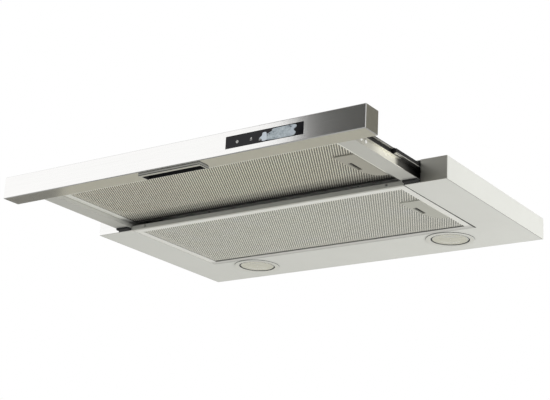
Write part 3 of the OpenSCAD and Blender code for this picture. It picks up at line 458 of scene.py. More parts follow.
def slab(rings):
    """Closed skin from rings of equal count, capped at both ends."""
    n = len(rings[0])
    verts = [p for ring in rings for p in ring]
    faces = []
    for k in range(len(rings) - 1):
        for i in range(n):
            a, b = k * n + i, k * n + (i + 1) % n
            faces.append((a, b, b + n, a + n))
    faces.append(tuple(reversed(range(n))))
    faces.append(tuple(range((len(rings) - 1) * n, len(rings) * n)))
    return verts, faces


def circle(n):
    """Cosine and sine of n even steps round a circle."""
    return [(math.cos(2 * math.pi * k / n), math.sin(2 * math.pi * k / n)) for k in range(n)]


def joined(parts):
    """One mesh of several (vertices, faces) pairs."""
    verts, faces = [], []
    for v, f in parts:
        n = len(verts)
        verts += list(v)
        faces += [tuple(i + n for i in q) for q in f]
    return verts, faces


# ------------------------------------------------------------------ filters

FRAME_BORDER = 10 * MM
MESH_START = 8 * MM                   # from the solid mesh's side to the expanded metal's
PITCH = (3.68 * MM, 3.45 * MM)        # of the meshes across, and of their rows
INNER_LAYERS = ((3.2 * MM, 0.25), (6.1 * MM, 0.0))    # (height, shift in meshes)
CATCH_REACH = 0.87                    # the catch plate's reach as a share of the solid's
CATCH_CORNER = 3                      # exponent of the plate's rounded outline


def inside_catch(x, y, x1, y0, w, h):
    """True for points that the catch plate covers, reaching w to the left of x1 and h up from y0."""
    u = (x1 - x) / w
    v = (y - y0) / h
    inside = (u >= -0.6) & (v >= 0) & (v <= 1)
    return inside & (np.clip(u, 0, None) ** CATCH_CORNER + np.clip(v, 0, 1) ** CATCH_CORNER < 1.0)


def expanded_metal(xs, ys, z, width, thick, tilt, skip, shift=0.0, lean=0.0):
    """Strands of an expanded sheet in long diamonds: small leaning prisms, or strips without thickness.

    lean makes the strands of one direction wider than those of the other.
    """
    px, py = PITCH
    nx = int((xs[1] - xs[0]) / px)
    ny = int((ys[1] - ys[0]) / py)
    i, j, s = np.meshgrid(np.arange(nx), np.arange(ny), np.array([-1, 1]), indexing="ij")
    i, j, s = i.ravel(), j.ravel(), s.ravel()
    x0 = xs[0] + (i + 0.5 + shift) * px + (j % 2) * px / 2
    y0 = ys[0] + j * py
    xe = x0 + s * px / 2
    ye = y0 + py
    keep = (x0 > xs[0]) & (x0 < xs[1]) & (xe > xs[0]) & (xe < xs[1])
    keep &= ~skip((x0 + xe) / 2, (y0 + ye) / 2)
    x0, y0, xe, ye, s = x0[keep], y0[keep], xe[keep], ye[keep], s[keep]
    d = np.stack([xe - x0, ye - y0], 1)
    d /= np.linalg.norm(d, axis=1)[:, None]
    side = np.stack([-d[:, 1], d[:, 0]], 1)
    side *= np.where(side[:, 0:1] < 0, -1, 1)
    half = width / 2 * (1 - lean * s)
    if thick:
        offsets = [(-half, thick / 2 - tilt), (half, thick / 2 + tilt), (0.0, -thick / 2)]
    else:
        offsets = [(-half, -tilt), (half, tilt)]
    n = len(x0)
    k = len(offsets)
    verts = np.zeros((n, 2, k, 3))
    for e, (x, y) in enumerate(((x0, y0), (xe, ye))):
        for c, (a, h) in enumerate(offsets):
            verts[:, e, c, 0] = x + side[:, 0] * a
            verts[:, e, c, 1] = y + side[:, 1] * a
            verts[:, e, c, 2] = z + h
    base = np.arange(n) * 2 * k
    pairs = [(0, 1), (1, 2), (2, 0)] if thick else [(0, 1)]
    quads = [np.stack([base + a, base + b, base + k + b, base + k + a], 1) for a, b in pairs]
    return verts.reshape(-1, 3), np.concatenate(quads)


def filter_layers(body, width, mat, inner, hem, lean):
    """A filter's expanded metal: the outer layer in full, two plainer layers behind it.

    width is that of the outer strands, hem how far in front of the frame's rear side they end.
    """
    node = body + "_mesh"
    low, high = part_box(node)
    frame_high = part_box(body + "_frame")[1]
    xs = (low.x + MESH_START, high.x - MESH_START)
    ys = (low.y + MESH_START, frame_high.y - hem)
    c_low, c_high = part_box(body.replace("filter", "catch_plate"))
    x1, w = frame_high.x - FRAME_BORDER, (c_high.x - c_low.x) * CATCH_REACH
    y0, h, gap = c_low.y, c_high.y - c_low.y, 0.3 * MM

    def skip(x, y):
        return inside_catch(x, y, x1, y0 - gap, w + gap, h + 2 * gap)

    def none(x, y):
        return np.zeros(len(x), bool)

    v, f = expanded_metal(xs, ys, low.z + 0.2 * MM, width, 0.16 * MM, 0.05 * MM, skip, lean=lean)
    piece(body + "_mesh_outer", v, f, body, "filter_mesh", mat=mat, replaces=(node,))
    for k, (z, shift) in enumerate(INNER_LAYERS):
        v, f = expanded_metal(xs, ys, low.z + z, 1.15 * MM, 0, 0.15 * MM,
                              skip if k == 0 else none, shift=shift)
        piece(body + "_mesh_inner_%d" % k, v, f, body, "filter_mesh", mat=inner)


# The layers behind the outer mesh are near black, the front filter's darker still: painted shade for
# aluminium that lies in the outer layer's shadow.
inner_mesh_shade = metal("inner_mesh_shade", (0.07, 0.068, 0.06), 0.5, grain=500, contrast=0.15)
front_inner_shade = metal("front_inner_shade", (0.03, 0.029, 0.025), 0.5, grain=500, contrast=0.15)
# The front filter's mesh is a little darker than the rear filter's, and its mesh and frame fall to near
# black at their rear ends by the cross rail: painted shade.
front_mesh = painted_light_ramp(metal("front_mesh", (0.99, 0.955, 0.84), 0.42, grain=500), FRONT_MESH_SHADE)
front_frame = painted_light_ramp(satin("front_frame", (0.95, 0.95, 0.88), 0, rough=0.45), FRONT_FRAME_SHADE)
# The rear filter's frame: painted shade, darker at its rear end.
rear_frame = painted_light_ramp(MATERIALS["filter_frame"], REAR_FRAME_SHADE)
filter_layers("front_filter", 0.93 * MM, front_mesh, front_inner_shade, 3.2 * MM, 0.34)
filter_layers("rear_filter", 1.14 * MM, MATERIALS["filter_mesh"], inner_mesh_shade, 9.8 * MM, 0.05)


# ------------------------------------------------------------------ touch control

def outline(w, h, r, steps=5):
    """Rectangle with round corners about the origin."""
    pts = []
    for cx, cy, a0 in ((w / 2 - r, h / 2 - r, 0), (-w / 2 + r, h / 2 - r, 90),
                       (-w / 2 + r, -h / 2 + r, 180), (w / 2 - r, -h / 2 + r, 270)):
        for k in range(steps + 1):
            a = math.radians(a0 + 90 * k / steps)
            pts.append((cx + r * math.cos(a), cy + r * math.sin(a)))
    return pts


def front_plate(centre, w, h, r, y_back, y_front, edge):
    """A plate that faces -Y, with a small rounded front edge."""
    rings = []
    for y, cut in ((y_back, 0), (y_front + edge, 0), (y_front + edge * 0.35, edge * 0.3),
                   (y_front, edge)):
        pts = outline(w - 2 * cut, h - 2 * cut, max(r - cut, 0.05 * MM))
        rings.append([(centre[0] + p[0], y, centre[1] + p[1]) for p in pts])
    return slab(rings)


def print_ink(name, rgb, rough=0.35):
    """An even satin layer: printing ink, the film's folds, the diodes' phosphor."""
    s = Shader(name, roughness=rough)
    fine = s.noise(2500, detail=2)
    s.tones(fine, rgb, (0.3, 0.9), (0.7, 1.08))
    s.roughness(fine, rough - 0.06, rough + 0.08)
    s.bump(fine, 0.00001, 0.3)
    return s.mat


def cloudy_film(name):
    """Pale protective film: cloudy blue grey, dark where the glass shows through."""
    s = Shader(name, roughness=0.22, Coat_Weight=0.5, Coat_Roughness=0.05)
    cloud = s.noise((70, 70, 150), detail=5, rough=0.62, distort=0.4)
    fine = s.noise(600, detail=3)
    tone = s.blend(cloud, fine, 0.2)
    s.colour(tone, [(0.36, (0.02, 0.03, 0.05)), (0.42, (0.30, 0.36, 0.40)),
                    (0.55, (0.44, 0.51, 0.55)), (0.7, (0.58, 0.64, 0.68))])
    s.roughness(fine, 0.16, 0.34)
    s.bump(cloud, 0.0001, 0.35)
    return s.mat


g_low, g_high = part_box("touch_glass")
gw, gh = g_high.x - g_low.x, g_high.z - g_low.z
gc = ((g_low.x + g_high.x) / 2, (g_low.z + g_high.z) / 2)
glass_y = g_low.y + 0.08 * MM
v, f = front_plate(gc, gw, gh, 0.8 * MM, g_high.y, glass_y, 0.5 * MM)
piece("touch_glass_panel", v, f, "drawer", "touch_glass", replaces=("touch_glass",))
ink = print_ink("icon_ink", (0.62, 0.62, 0.60))
film = cloudy_film("display_film")
fold = print_ink("film_fold", (0.64, 0.71, 0.78), 0.2)
film_edge = print_ink("film_edge", (0.50, 0.56, 0.62), 0.2)


def icon(name, at, outlines, mat=ink, proud=0.02):
    """A flat sign that stands proud of the glass: outlines in mm about its middle."""
    verts, faces = [], []
    for points in outlines:
        n0 = len(verts)
        verts += [(at[0] + p[0] * MM, glass_y - proud * MM, at[1] + p[1] * MM) for p in points]
        faces.append(tuple(range(n0, len(verts))))
        n1 = len(verts)
        verts += [(at[0] + p[0] * MM, glass_y + 0.05 * MM, at[1] + p[1] * MM) for p in points]
        m = len(points)
        for i in range(m):
            faces.append((n0 + i, n0 + (i + 1) % m, n1 + (i + 1) % m, n1 + i))
    piece(name, verts, faces, "drawer", "touch_glass", mat)


def arc_band(cx, cy, r0, r1, a0, a1, n):
    """Outline of a bent band between two radii, from one angle to the other in n steps."""
    angles = [math.radians(a0 + (a1 - a0) * k / n) for k in range(n + 1)]
    return [(cx + r * math.cos(a), cy + r * math.sin(a))
            for r, steps in ((r1, angles), (r0, reversed(angles))) for a in steps]


def bar(cx, cy, w, h):
    return [(cx - w / 2, cy - h / 2), (cx + w / 2, cy - h / 2), (cx + w / 2, cy + h / 2),
            (cx - w / 2, cy + h / 2)]


def on_glass(share, down):
    """A place on the glass: a share of its width, and mm below its middle."""
    return (g_low.x + gw * share, gc[1] - down * MM)


def smooth_loop(points, steps=6):
    """Closed smooth curve through the points."""
    out = []
    n = len(points)
    for i in range(n):
        p0, p1, p2, p3 = (Vector(points[(i + k) % n]) for k in (-1, 0, 1, 2))
        for k in range(steps):
            t = k / steps
            out.append(0.5 * (2 * p1 + (p2 - p0) * t + (2 * p0 - 5 * p1 + 4 * p2 - p3) * t * t
                              + (3 * p1 - p0 - 3 * p2 + p3) * t ** 3))
    return out


def film_patch(name, shape, mat, proud):
    """A patch of protective film on the glass, its outline in shares of the glass."""
    pts = [((p.x - 0.5) * gw / MM, (p.y - 0.5) * gh / MM) for p in smooth_loop(shape)]
    icon(name, gc, [pts], mat, proud)


icon("touch_power_sign", on_glass(0.152, 0.8), [
    arc_band(0, -0.1, 0.75, 1.95, -240, 60, 24), bar(0, 1.1, 0.8, 2.0)])
icon("touch_lamp_sign", on_glass(0.335, 0.6), [
    [(-1.9, 0.5), (1.1, 2.0), (1.1, -0.5)], bar(-0.1, -1.7, 3.4, 0.7)])
icon("touch_minus_sign", on_glass(0.448, 4.6), [bar(0, 0, 3.0, 0.9)])
film_patch("touch_film", [
    (0.485, 0.09), (0.54, 0.11), (0.62, 0.055), (0.76, 0.045), (0.86, 0.06), (0.893, 0.14),
    (0.903, 0.30), (0.886, 0.42), (0.880, 0.53), (0.898, 0.63), (0.913, 0.76), (0.905, 0.87),
    (0.87, 0.93), (0.75, 0.94), (0.64, 0.93), (0.60, 0.88), (0.605, 0.80), (0.58, 0.70),
    (0.548, 0.62), (0.530, 0.60), (0.500, 0.55), (0.475, 0.40), (0.472, 0.22)], film, 0.01)
film_patch("touch_film_fold", [
    (0.478, 0.11), (0.505, 0.09), (0.530, 0.12), (0.537, 0.28), (0.534, 0.55), (0.530, 0.72),
    (0.508, 0.78), (0.482, 0.74), (0.475, 0.55), (0.452, 0.42), (0.440, 0.32), (0.470, 0.27)], fold, 0.03)
film_patch("touch_film_end", [
    (0.835, 0.20), (0.862, 0.13), (0.886, 0.17), (0.894, 0.30), (0.878, 0.42), (0.872, 0.53),
    (0.888, 0.64), (0.903, 0.77), (0.893, 0.86), (0.862, 0.86), (0.842, 0.70), (0.832, 0.45)],
    film_edge, 0.02)


# ------------------------------------------------------------------ lamps

body_of_slab = next(b for b, members in frame["record"]["behaviour"]["bodies"].items()
                    if "lamp_bezels" in members)
l_low, l_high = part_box("lamp_bezels")
plate_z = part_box("bottom_plate")[0].z
lamp_r = (l_high.y - l_low.y) / 2 / MM
lamp_y = (l_low.y + l_high.y) / 2
bright_tray = metal("bright_tray", (0.86, 0.86, 0.84), 0.3, grain=300, contrast=0.05)
phosphor = print_ink("phosphor", (0.85, 0.74, 0.36), 0.5)

# Profiles in mm: radius, and height over the plate's underside. Below it is negative.
# The gasket and seal are black rings that paint the shade lines round the ring and round the lens.
LAMP_SHADE_GASKET = [(lamp_r, 0.0), (lamp_r, -0.6), (lamp_r - 0.8, -0.66), (lamp_r - 0.8, 0.0)]
LAMP_RING = [(lamp_r - 0.9, 0.0), (lamp_r - 0.12, -0.62), (lamp_r - 0.12, -0.95),
             (lamp_r - 0.3, -1.1), (lamp_r - 0.8, -1.2), (29.9, -1.2), (29.5, -1.14), (29.2, -0.95),
             (29.1, -0.6), (29.1, 0.5), (28.8, 0.56), (28.8, 5.9), (30.25, 5.9), (30.25, 0.0)]
LAMP_SHADE_SEAL = [(29.05, 0.3), (29.05, -0.7), (28.8, -0.95), (28.1, -0.95), (27.75, -0.7), (27.7, 0.3)]
LAMP_TRAY = [(27.9, 1.9), (27.9, 2.5), (0.01, 2.5), (0.01, 2.35), (7, 2.35), (9, 2.1), (13, 2.35),
             (16, 2.1), (20, 2.35), (22.5, 2.1), (25.5, 2.3)]
DIODE = [(0.01, -0.18), (0.8, -0.12), (1.25, 0.05), (1.3, 0.3), (0.01, 0.3)]
LENS_R = 27.65
LENS_STEP = (0, 0, 0, 0, 0, 0, 0, 0, 0, 0.02, 0.42, 0.34, 0.26, 0.2, 0.14, 0.05, 0)
DIODE_CIRCLE, DIODE_HEIGHT = 10.5 * MM, 1.95 * MM


def turned(profile, centre, turns, wave=None):
    """lathe() for a profile in mm."""
    return lathe([(r * MM, h * MM) for r, h in profile], centre, turns, wave)


def lamp(side, x):
    """A pressed ring on a black gasket, a domed lens with a step, a black seal round the lens, and a tray
    of six diodes; gasket and seal paint the thin shade lines round the ring and the lens.
    """
    c = (x, lamp_y, plate_z)
    v, f = turned(LAMP_SHADE_GASKET, c, 144)
    piece("lamp_shade_gasket_" + side, v, f, body_of_slab, "rubber")
    v, f = turned(LAMP_RING, c, 144)
    piece("lamp_ring_" + side, v, f, body_of_slab, "lamp_ring", replaces=("lamp_bezels",))
    v, f = turned(LAMP_SHADE_SEAL, c, 96)
    piece("lamp_shade_seal_" + side, v, f, body_of_slab, "rubber")
    n = len(LENS_STEP)
    face = [(LENS_R * k / (n - 1), -1.15 + 0.6 * (k / (n - 1)) ** 2 + LENS_STEP[k]) for k in range(n)]
    inner = [(r * 0.985, h + 1.15) for r, h in reversed(face)]
    v, f = turned([(max(r, 0.01), h) for r, h in face + inner], c, 96,
                  lambda i, k: 0.05 * MM * math.cos(math.pi * k) if n <= i < 2 * n - 1 else 0)
    piece("lamp_lens_" + side, v, f, body_of_slab, "lamp_glass", smooth=True,
          replaces=("lamp_lenses",))
    v, f = turned(LAMP_TRAY, c, 72, lambda i, k: 0.15 * MM * (k % 2) if 3 < i < 11 else 0)
    piece("lamp_tray_" + side, v, f, body_of_slab, "lamp_ring", mat=bright_tray)
    v, f = joined([turned(DIODE, (x + DIODE_CIRCLE * math.cos(a), lamp_y + DIODE_CIRCLE * math.sin(a),
                                  plate_z + DIODE_HEIGHT), 16)
                   for a in (math.radians(60 * k + 15) for k in range(6))])
    piece("lamp_diodes_" + side, v, f, body_of_slab, "lamp_glass", mat=phosphor, smooth=True)


lamp("right", l_high.x - lamp_r * MM)
lamp("left", l_low.x + lamp_r * MM)


# ------------------------------------------------------------------ sheet parts with eased edges

def fascia_end(a, b):
    """True for the outline edges of the fascia's two closed ends."""
    return all(abs(abs(p.x) - fascia_x) < 0.01 * MM for p in (a, b))


def under(f):
    return f.normal.z < -0.5


fascia_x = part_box("fascia_panel")[1].x
eased("fascia_panel", "drawer", "brushed_steel", 1.1 * MM, fascia_end, segments=4)
for n, body, slot, width, mat in (
        ("front_trim_left", body_of_slab, "brushed_steel", 0.3, None),
        ("front_trim_right", body_of_slab, "brushed_steel", 0.3, trim_steel_shaded),
        ("cross_rail", body_of_slab, "painted_grey", 0.25, rail_front),
        ("rear_filter_frame", "rear_filter", "filter_frame", 0.2, rear_frame)):
    eased(n, body, slot, width * MM, mat=mat)


SLOT_EDGE = 20.4 * MM                 # from the catch plate's right end to its finger slot
SLOT_SPAN = (-0.6 * MM, 7.5 * MM)     # from there, where the slot's points are looked for
SLOT_HELD = 1.8 * MM                  # from there, the place that stays when the slot is widened
SLOT_GROWTH = 1.7
CATCH_SHEET = 1.2 * MM                # the plate's lower layer is lower than this


def catch_shape(plate):
    """Opens a catch plate's finger slot wider, as its pressed lip does, and shortens its lower layer."""
    low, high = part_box(plate)
    mid_y = (low.y + high.y) / 2

    def shape(co):
        u = high.x - SLOT_EDGE - co.x
        if SLOT_SPAN[0] < u < SLOT_SPAN[1] and abs(co.y - mid_y) < 0.24 * (high.y - low.y):
            co.x = high.x - SLOT_EDGE - (u - SLOT_HELD) * SLOT_GROWTH - SLOT_HELD
        elif co.z < low.z + CATCH_SHEET:
            co.x = high.x - (high.x - co.x) * CATCH_REACH
    return shape


for n, mat in (("front", front_catch), ("rear", catch_metal)):
    plate = n + "_catch_plate"
    eased(plate, n + "_filter", "filter_mesh", 0.2 * MM, mat=mat, shape=catch_shape(plate))
# The rails' down-facing faces take the web's material: a painted highlight along their lower edges, dark
# inside the slab.
for side in ("left", "right"):
    eased("middle_rail_" + side, "rail_" + side, "rail_steel", 0.3 * MM, paint=((web_zinc_painted_light, under),))
eased("inner_rails", "drawer", "rail_steel", 0.1 * MM, paint=((web_zinc_painted_light, under),))


HEM_SPAN = (1.2 * MM, 12 * MM)        # from the frame's rear side, the solid's hem
HEM_WIDTH = 2.8 * MM
WEB_OUTSIDE = 249.2 * MM              # the outer face of a drawer side is further out than this
WEB_AREA = 100 * MM * MM              # and larger than this
front_frame_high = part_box("front_filter_frame")[1]
grip_low, grip_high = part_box("grip_insert")


def narrow_hem(co):
    """The front filter's rear hem is as narrow as the photograph shows it."""
    high = front_frame_high
    if HEM_SPAN[0] < high.y - co.y < HEM_SPAN[1] and abs(co.x) < high.x - 4 * MM:
        co.y = high.y - HEM_WIDTH


def web_outside(f):
    return abs(f.normal.x) > 0.9 and abs(f.center.x) > WEB_OUTSIDE and f.area > WEB_AREA


def grip_outside(f):
    """True for the grip's outer walls, in front and at its two ends."""
    end = min(abs(f.center.x - grip_low.x), abs(f.center.x - grip_high.x)) < 0.1 * MM
    front = f.normal.y < -0.5 and f.center.y < grip_low.y + 0.7 * MM
    return (end and f.center.z < -30 * MM) or front


def grip_under(f):
    return f.center.z < grip_low.z + 0.2 * MM and f.normal.z < -0.3


eased("front_filter_frame", "front_filter", "filter_frame", 0.2 * MM, mat=front_frame, shape=narrow_hem)
# Their outer web faces take the web's painted highlight and shade.
for side in ("left", "right"):
    eased("drawer_side_" + side, "drawer", "side_steel", 0.38 * MM, paint=((web_zinc_painted_light, web_outside),))
eased("grip_insert", "drawer", "black_plastic", 0.25 * MM,
      paint=((grip_edge, grip_outside), (grip_rim, grip_under)))


SEAM_STEPS = 40


def window_gap_shade():
    """A black strip that paints the shade in the gap right of the rear filter; its lip on the plate
    widens to the rear.
    """
    low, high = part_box("rear_filter_frame")
    wall_x = high.x + 1.3 * MM
    y0, y1 = low.y - 4 * MM, high.y + 0.95 * MM
    rings = []
    for k in range(SEAM_STEPS + 1):
        t = k / SEAM_STEPS
        lip, inner = 0.35 + 1.25 * t ** 1.5, 0.95 if k % 2 else 0.9
        rings.append([(wall_x + a * MM, y0 + (y1 - y0) * t, plate_z + h * MM) for a, h in (
            (-inner, 1.6), (-inner, 0.0), (-inner + 0.2, -0.22), (lip - 0.25, -0.26), (lip, -0.03),
            (0.02, -0.03), (0.02, 3.1), (-inner * 0.9, 3.0))])
    v, f = slab(rings)
    piece("window_seal_right", v, f, body_of_slab, "rubber")


def seam(side, sx):
    """Fine dark strip under the slab where the plate meets the side wall: painted shade of the seam."""
    low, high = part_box("bottom_plate")
    x = sx * (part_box("canopy_shell")[1].x - 1.3 * MM)
    top, bottom = plate_z + 0.1 * MM, plate_z - 0.05 * MM
    rings = []
    for k in range(SEAM_STEPS + 1):
        y = low.y + 0.6 * MM + (high.y - low.y - 1.2 * MM) * k / SEAM_STEPS
        w = (0.42 if k % 2 else 0.38) * MM
        rings.append([(x + side_step * w, y, z) for side_step, z in (
            (-1, top), (-0.7, bottom), (0.7, bottom), (1, top))])
    v, f = slab(rings)
    piece("plate_seam_" + side, v, f, body_of_slab, "painted_grey", mat=seam_shade_grey)


def gap_shade_pad(side, sx):
    """Black pad under the drawer side's flange, just in front of the slab's mouth: painted shade of the
    gap there.
    """
    low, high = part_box("drawer_side_" + side)
    x0 = abs(low.x if sx > 0 else high.x) + 1.8 * MM
    x1 = abs(high.x if sx > 0 else low.x) - 0.3 * MM
    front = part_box("bottom_plate")[0].y
    z0, z1, y0, y1 = plate_z + 1.2 * MM, low.z - 0.02 * MM, front - 9 * MM, front + 3 * MM
    rings, chamfer, edge = [], 0.8 * MM, 0.5 * MM
    for x, cut in ((x0, edge), (x0 + edge, 0), (x1 - edge, 0), (x1, edge)):
        rings.append([(sx * x, y, z) for y, z in (
            (y0 + cut, z1), (y0 + cut, z0 + chamfer), (y0 + chamfer + cut, z0 + cut),
            (y1 - chamfer, z0 + cut), (y1, z0 + chamfer), (y1, z1))])
    v, f = slab(rings)
    piece("gap_shade_pad_" + side, v, f, "drawer", "rubber")


seam_shade_grey = painted("seam_shade_grey", (0.34, 0.34, 0.31))
window_gap_shade()
for make in (gap_shade_pad, seam):
    make("left", -1)
    make("right", 1)


# ------------------------------------------------------------------ rails and screws

BALL_PITCH = 9 * MM


def cage(side):
    """Bright ball cage on the outer face of the middle rail member, with the balls' crowns in it; its
    bright strip also paints the highlight along the rail's lower edge.
    """
    low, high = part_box("middle_rail_" + side)
    sx = 1 if low.x > 0 else -1
    x0 = high.x if sx > 0 else low.x
    y0, y1 = low.y + 1.0 * MM, high.y - 1.0 * MM
    z = low.z + 2.3 * MM
    strip = [(0, -0.55), (0.07, -0.5), (0.09, -0.3), (0.09, 0.3), (0.07, 0.5), (0, 0.55)]
    parts = [slab([[(x0 + sx * a * MM, y, z + c * MM) for a, c in strip] for y in (y0, y1)])]
    for k in range(int((y1 - y0) / BALL_PITCH)):
        x, y = x0 + sx * 0.05 * MM, y0 + (k + 0.5) * BALL_PITCH
        parts.append(slab([[(x + sx * h * MM, y + r * MM * a, z + r * MM * b) for a, b in circle(10)]
                           for r, h in ((0.42, 0.0), (0.38, 0.07), (0.25, 0.12), (0.06, 0.14))]))
    v, f = joined(parts)
    piece("ball_cage_" + side, v, f, "rail_" + side, "rail_steel", mat=cage_zinc_highlight)


def catch_spring(side):
    """Conical coil spring in two halves: the narrow one goes with the slider into the wide one."""
    low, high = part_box(side + "_catch_spring")
    c = ((low.y + high.y) / 2, (low.z + high.z) / 2)
    r, mid = (high.z - low.z) / 2, low.x + 0.58 * (high.x - low.x)
    for name, x0, x1, r0, r1, turns, body in (
            ("wide", low.x, mid, r - 0.16 * MM, 0.72 * r, 4, side + "_filter"),
            ("narrow", mid - 0.2 * MM, high.x - 0.02 * MM, 0.38 * r, 0.50 * r, 3, side + "_catch")):
        rings, steps, wire = [], 16 * turns, 0.15 * MM
        for i in range(steps + 1):
            t = i / steps
            a, coil = 2 * math.pi * turns * t, r0 + (r1 - r0) * t
            x = x0 + wire + (x1 - x0 - 2 * wire) * t
            rings.append([(x + wire * down, c[0] + (coil + wire * out) * math.cos(a),
                           c[1] + (coil + wire * out) * math.sin(a)) for out, down in circle(8)])
        v, f = slab(rings)
        piece("%s_spring_%s" % (side, name), v, f, body, "bright_steel", smooth=True,
              replaces=(side + "_catch_spring",) if name == "wide" else ())


# Screws, in mm
HEAD_R, HEAD_HEIGHT, SHANK_R, THREAD_STEP = 2.5, 1.6, 1.55, 0.35


def turned_to(axis):
    """The turn that takes Z to axis."""
    return Vector((0, 0, 1)).rotation_difference(Vector(axis)).to_matrix()


def pan_head(base, axis):
    """Round screw head with a cross recess, its foot at base, standing along axis."""
    rot, r, t = turned_to(axis), HEAD_R, HEAD_HEIGHT
    profile = [(r, 0), (r, t * 0.35), (r * 0.9, t * 0.72), (r * 0.66, t * 0.93), (r * 0.4, t), (0.01, t)]
    n, m = 24, len(profile)
    verts, faces = [], []
    for k, (a, b) in enumerate(circle(n)):
        for i, (q, h) in enumerate(profile):
            if i >= 3 and k % 6 == 0:
                h -= 0.8 if i > 3 else 0.35
            verts.append(Vector(base) + rot @ Vector((q * a, q * b, h)) * MM)
    for k in range(n):
        k2 = (k + 1) % n
        for i in range(m - 1):
            faces.append((k * m + i, k2 * m + i, k2 * m + i + 1, k * m + i + 1))
    faces.append(tuple(k * m for k in reversed(range(n))))
    return verts, faces


def shank(base, axis, length):
    """A screw's threaded shank, its foot at base, against axis."""
    rot, steps, rings = turned_to(axis), int(length / THREAD_STEP), []
    for i in range(steps + 1):
        q = SHANK_R * (1.0 if i % 2 else 0.9)
        rings.append([Vector(base) + rot @ Vector((q * a, q * b, -length * i / steps)) * MM
                      for a, b in circle(14)])
    return slab(rings)


def screw(base, axis, length):
    return [pan_head(base, axis), shank(base, axis, length)]


cage("left")
cage("right")
catch_spring("front")
catch_spring("rear")
s_low, s_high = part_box("drawer_screws")
head_x = s_high.x - HEAD_HEIGHT * MM
screw_z = (s_low.z + s_high.z) / 2
fascia_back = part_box("drawer_side_right")[0].y
parts = []
for sx in (-1, 1):
    for behind in (40.6, 51.6):
        parts += screw((sx * head_x, fascia_back + behind * MM, screw_z), (sx, 0, 0), 5.0)
    parts += screw((sx * (head_x - 8 * MM), fascia_back + 2 * MM, screw_z), (0, 1, 0), 6.9)
v, f = joined(parts)
piece("drawer_screws_detailed", v, f, "drawer", "bright_steel", mat=screw_zinc,
      replaces=("drawer_screws",))


# ------------------------------------------------------------------ camera and light

CAMERA_PLACE = (1.06366, -1.60990, -0.60868)
CAMERA_AZIMUTH, CAMERA_ELEVATION, CAMERA_ROLL = 35.39, -18.16, 2.87    # degrees
LENS, SENSOR = 87.5, 36                                                # mm
HOOD = (0, -0.2, 0)                   # where most lights and cards are aimed


def camera():
    """The camera fitted to the photograph."""
    az, el, roll = (math.radians(d) for d in (CAMERA_AZIMUTH, CAMERA_ELEVATION, CAMERA_ROLL))
    back = Vector((math.sin(az) * math.cos(el), -math.cos(az) * math.cos(el), math.sin(el)))
    level = Vector((math.cos(az), math.sin(az), 0))
    up = back.cross(level)
    across = level * math.cos(roll) + up * math.sin(roll)
    upright = up * math.cos(roll) - level * math.sin(roll)
    data = bpy.data.cameras.new("camera")
    data.lens, data.sensor_width = LENS, SENSOR
    o = added("camera", data)
    m = Matrix((across, upright, back)).transposed().to_4x4()
    m.translation = Vector(CAMERA_PLACE)
    o.matrix_world = m
    scene.camera = o


def aim(o, at, target):
    d = (Vector(target) - Vector(at)).normalized()
    o.matrix_world = Matrix.Translation(at) @ d.to_track_quat("-Z", "Y").to_matrix().to_4x4()


def softbox(name, at, target, size, level, seen=True):
    """An area light whose surface has the given radiance; reflections see it if seen."""
    data = bpy.data.lights.new(name, "AREA")
    data.shape = "RECTANGLE"
    data.size, data.size_y = size
    data.energy = level * math.pi * size[0] * size[1]
    o = added(name, data)
    aim(o, at, target)
    o.visible_camera = False
    o.visible_glossy = seen


def sheet(name, width, depth, z=0.0):
    """A flat rectangle about the origin."""
    w, d = width / 2, depth / 2
    mesh = bpy.data.meshes.new(name)
    mesh.from_pydata([(-w, -d, z), (w, -d, z), (w, d, z), (-w, d, z)], [], [(0, 1, 2, 3)])
    return added(name, mesh)


def card(name, at, target, size, rgb):
    """A dark or pale card that only reflections see."""
    o = sheet(name, *size)
    s = Shader(name, roughness=1.0)
    s.tones(s.noise(3), rgb, (0.3, 0.92), (0.7, 1))
    o.data.materials.append(s.mat)
    aim(o, at, target)
    o.visible_camera = False
    o.visible_diffuse = False
    o.visible_shadow = False


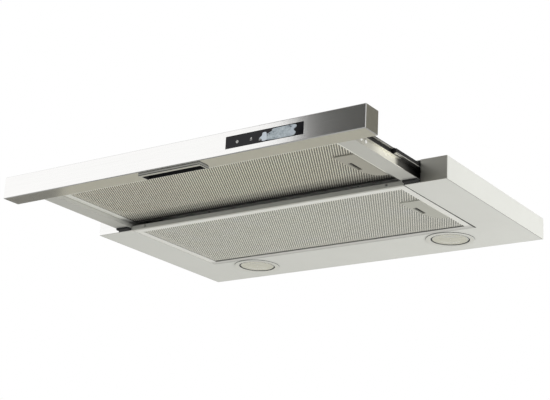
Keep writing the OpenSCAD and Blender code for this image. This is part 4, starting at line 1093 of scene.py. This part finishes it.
def world(white, fill):
    """White for the camera, reflections and what is seen through glass, a pale fill for the rest."""
    w = bpy.data.worlds.new("world")
    scene.world = w
    w.use_nodes = True
    t = w.node_tree
    t.nodes.clear()
    out = t.nodes.new("ShaderNodeOutputWorld")
    mix = t.nodes.new("ShaderNodeMixShader")
    a, b = t.nodes.new("ShaderNodeBackground"), t.nodes.new("ShaderNodeBackground")
    for background, strength in ((a, fill), (b, white)):
        background.inputs["Color"].default_value = (1, 1, 1, 1)
        background.inputs["Strength"].default_value = strength
    path = t.nodes.new("ShaderNodeLightPath")
    one, two = t.nodes.new("ShaderNodeMath"), t.nodes.new("ShaderNodeMath")
    one.operation = two.operation = "MAXIMUM"
    t.links.new(path.outputs["Is Camera Ray"], one.inputs[0])
    t.links.new(path.outputs["Is Glossy Ray"], one.inputs[1])
    t.links.new(one.outputs[0], two.inputs[0])
    t.links.new(path.outputs["Is Transmission Ray"], two.inputs[1])
    t.links.new(two.outputs[0], mix.inputs[0])
    t.links.new(a.outputs[0], mix.inputs[1])
    t.links.new(b.outputs[0], mix.inputs[2])
    t.links.new(mix.outputs[0], out.inputs[0])


def floor(z, size):
    """The plain pale floor far below the hood."""
    o = sheet("floor", size, size, z)
    s = Shader("floor", roughness=0.9)
    s.colour(s.noise(2, detail=3), [(0.3, (0.87, 0.87, 0.86)), (0.7, (0.89, 0.89, 0.88))])
    o.data.materials.append(s.mat)


def ray_place(angle, elev, dist):
    """A place seen in the fascia's reflection: angle from -Y towards -X, in degrees."""
    a, e = math.radians(angle), math.radians(elev)
    return Vector((-math.sin(a) * math.cos(e), -math.cos(a) * math.cos(e), math.sin(e))) * dist


camera()
world(1.0, 0.61)
floor(-3.2, 28)
softbox("key_left", ray_place(48.3, 18, 3.2), HOOD, (2.6, 2.6), 0.65)
softbox("key_right", Vector((0.79, -0.48, 0.375)) * 3.2, (0, -0.1, 0), (1.5, 1.5), 0.8)
softbox("top", (0.3, -0.6, 2.6), (0, 0, 0), (2.4, 2.4), 0.8, seen=False)
softbox("right_fill", (2.9, 0.1, -0.75), (0.2, -0.1, 0), (1.4, 1.4), 3.5, seen=False)
softbox("right_low", (1.0, 0.9, -0.7), (0.25, 0.15, 0), (0.8, 0.8), 3.4, seen=False)
card("dark_front", ray_place(8.7, 20, 3.0), HOOD, (1.9, 2.6), (0.17, 0.17, 0.16))
card("dark_right", Vector((1.9, 2.0, 0.9)), (0.3, -0.3, 0), (1.6, 1.8), (0.39, 0.375, 0.31))
card("warm_low", Vector((-0.55, 0.77, -0.31)) * 3.4, HOOD, (2.2, 1.3), (0.865, 0.84, 0.70))
card("dark_left_low", Vector((-0.828, 0.482, -0.29)) * 3.0, HOOD, (0.7, 1.2), (0.42, 0.41, 0.365))
card("dark_low", Vector((-0.55, -0.31, -0.77)) * 2.6, HOOD, (1.3, 1.0), (0.08, 0.08, 0.075))
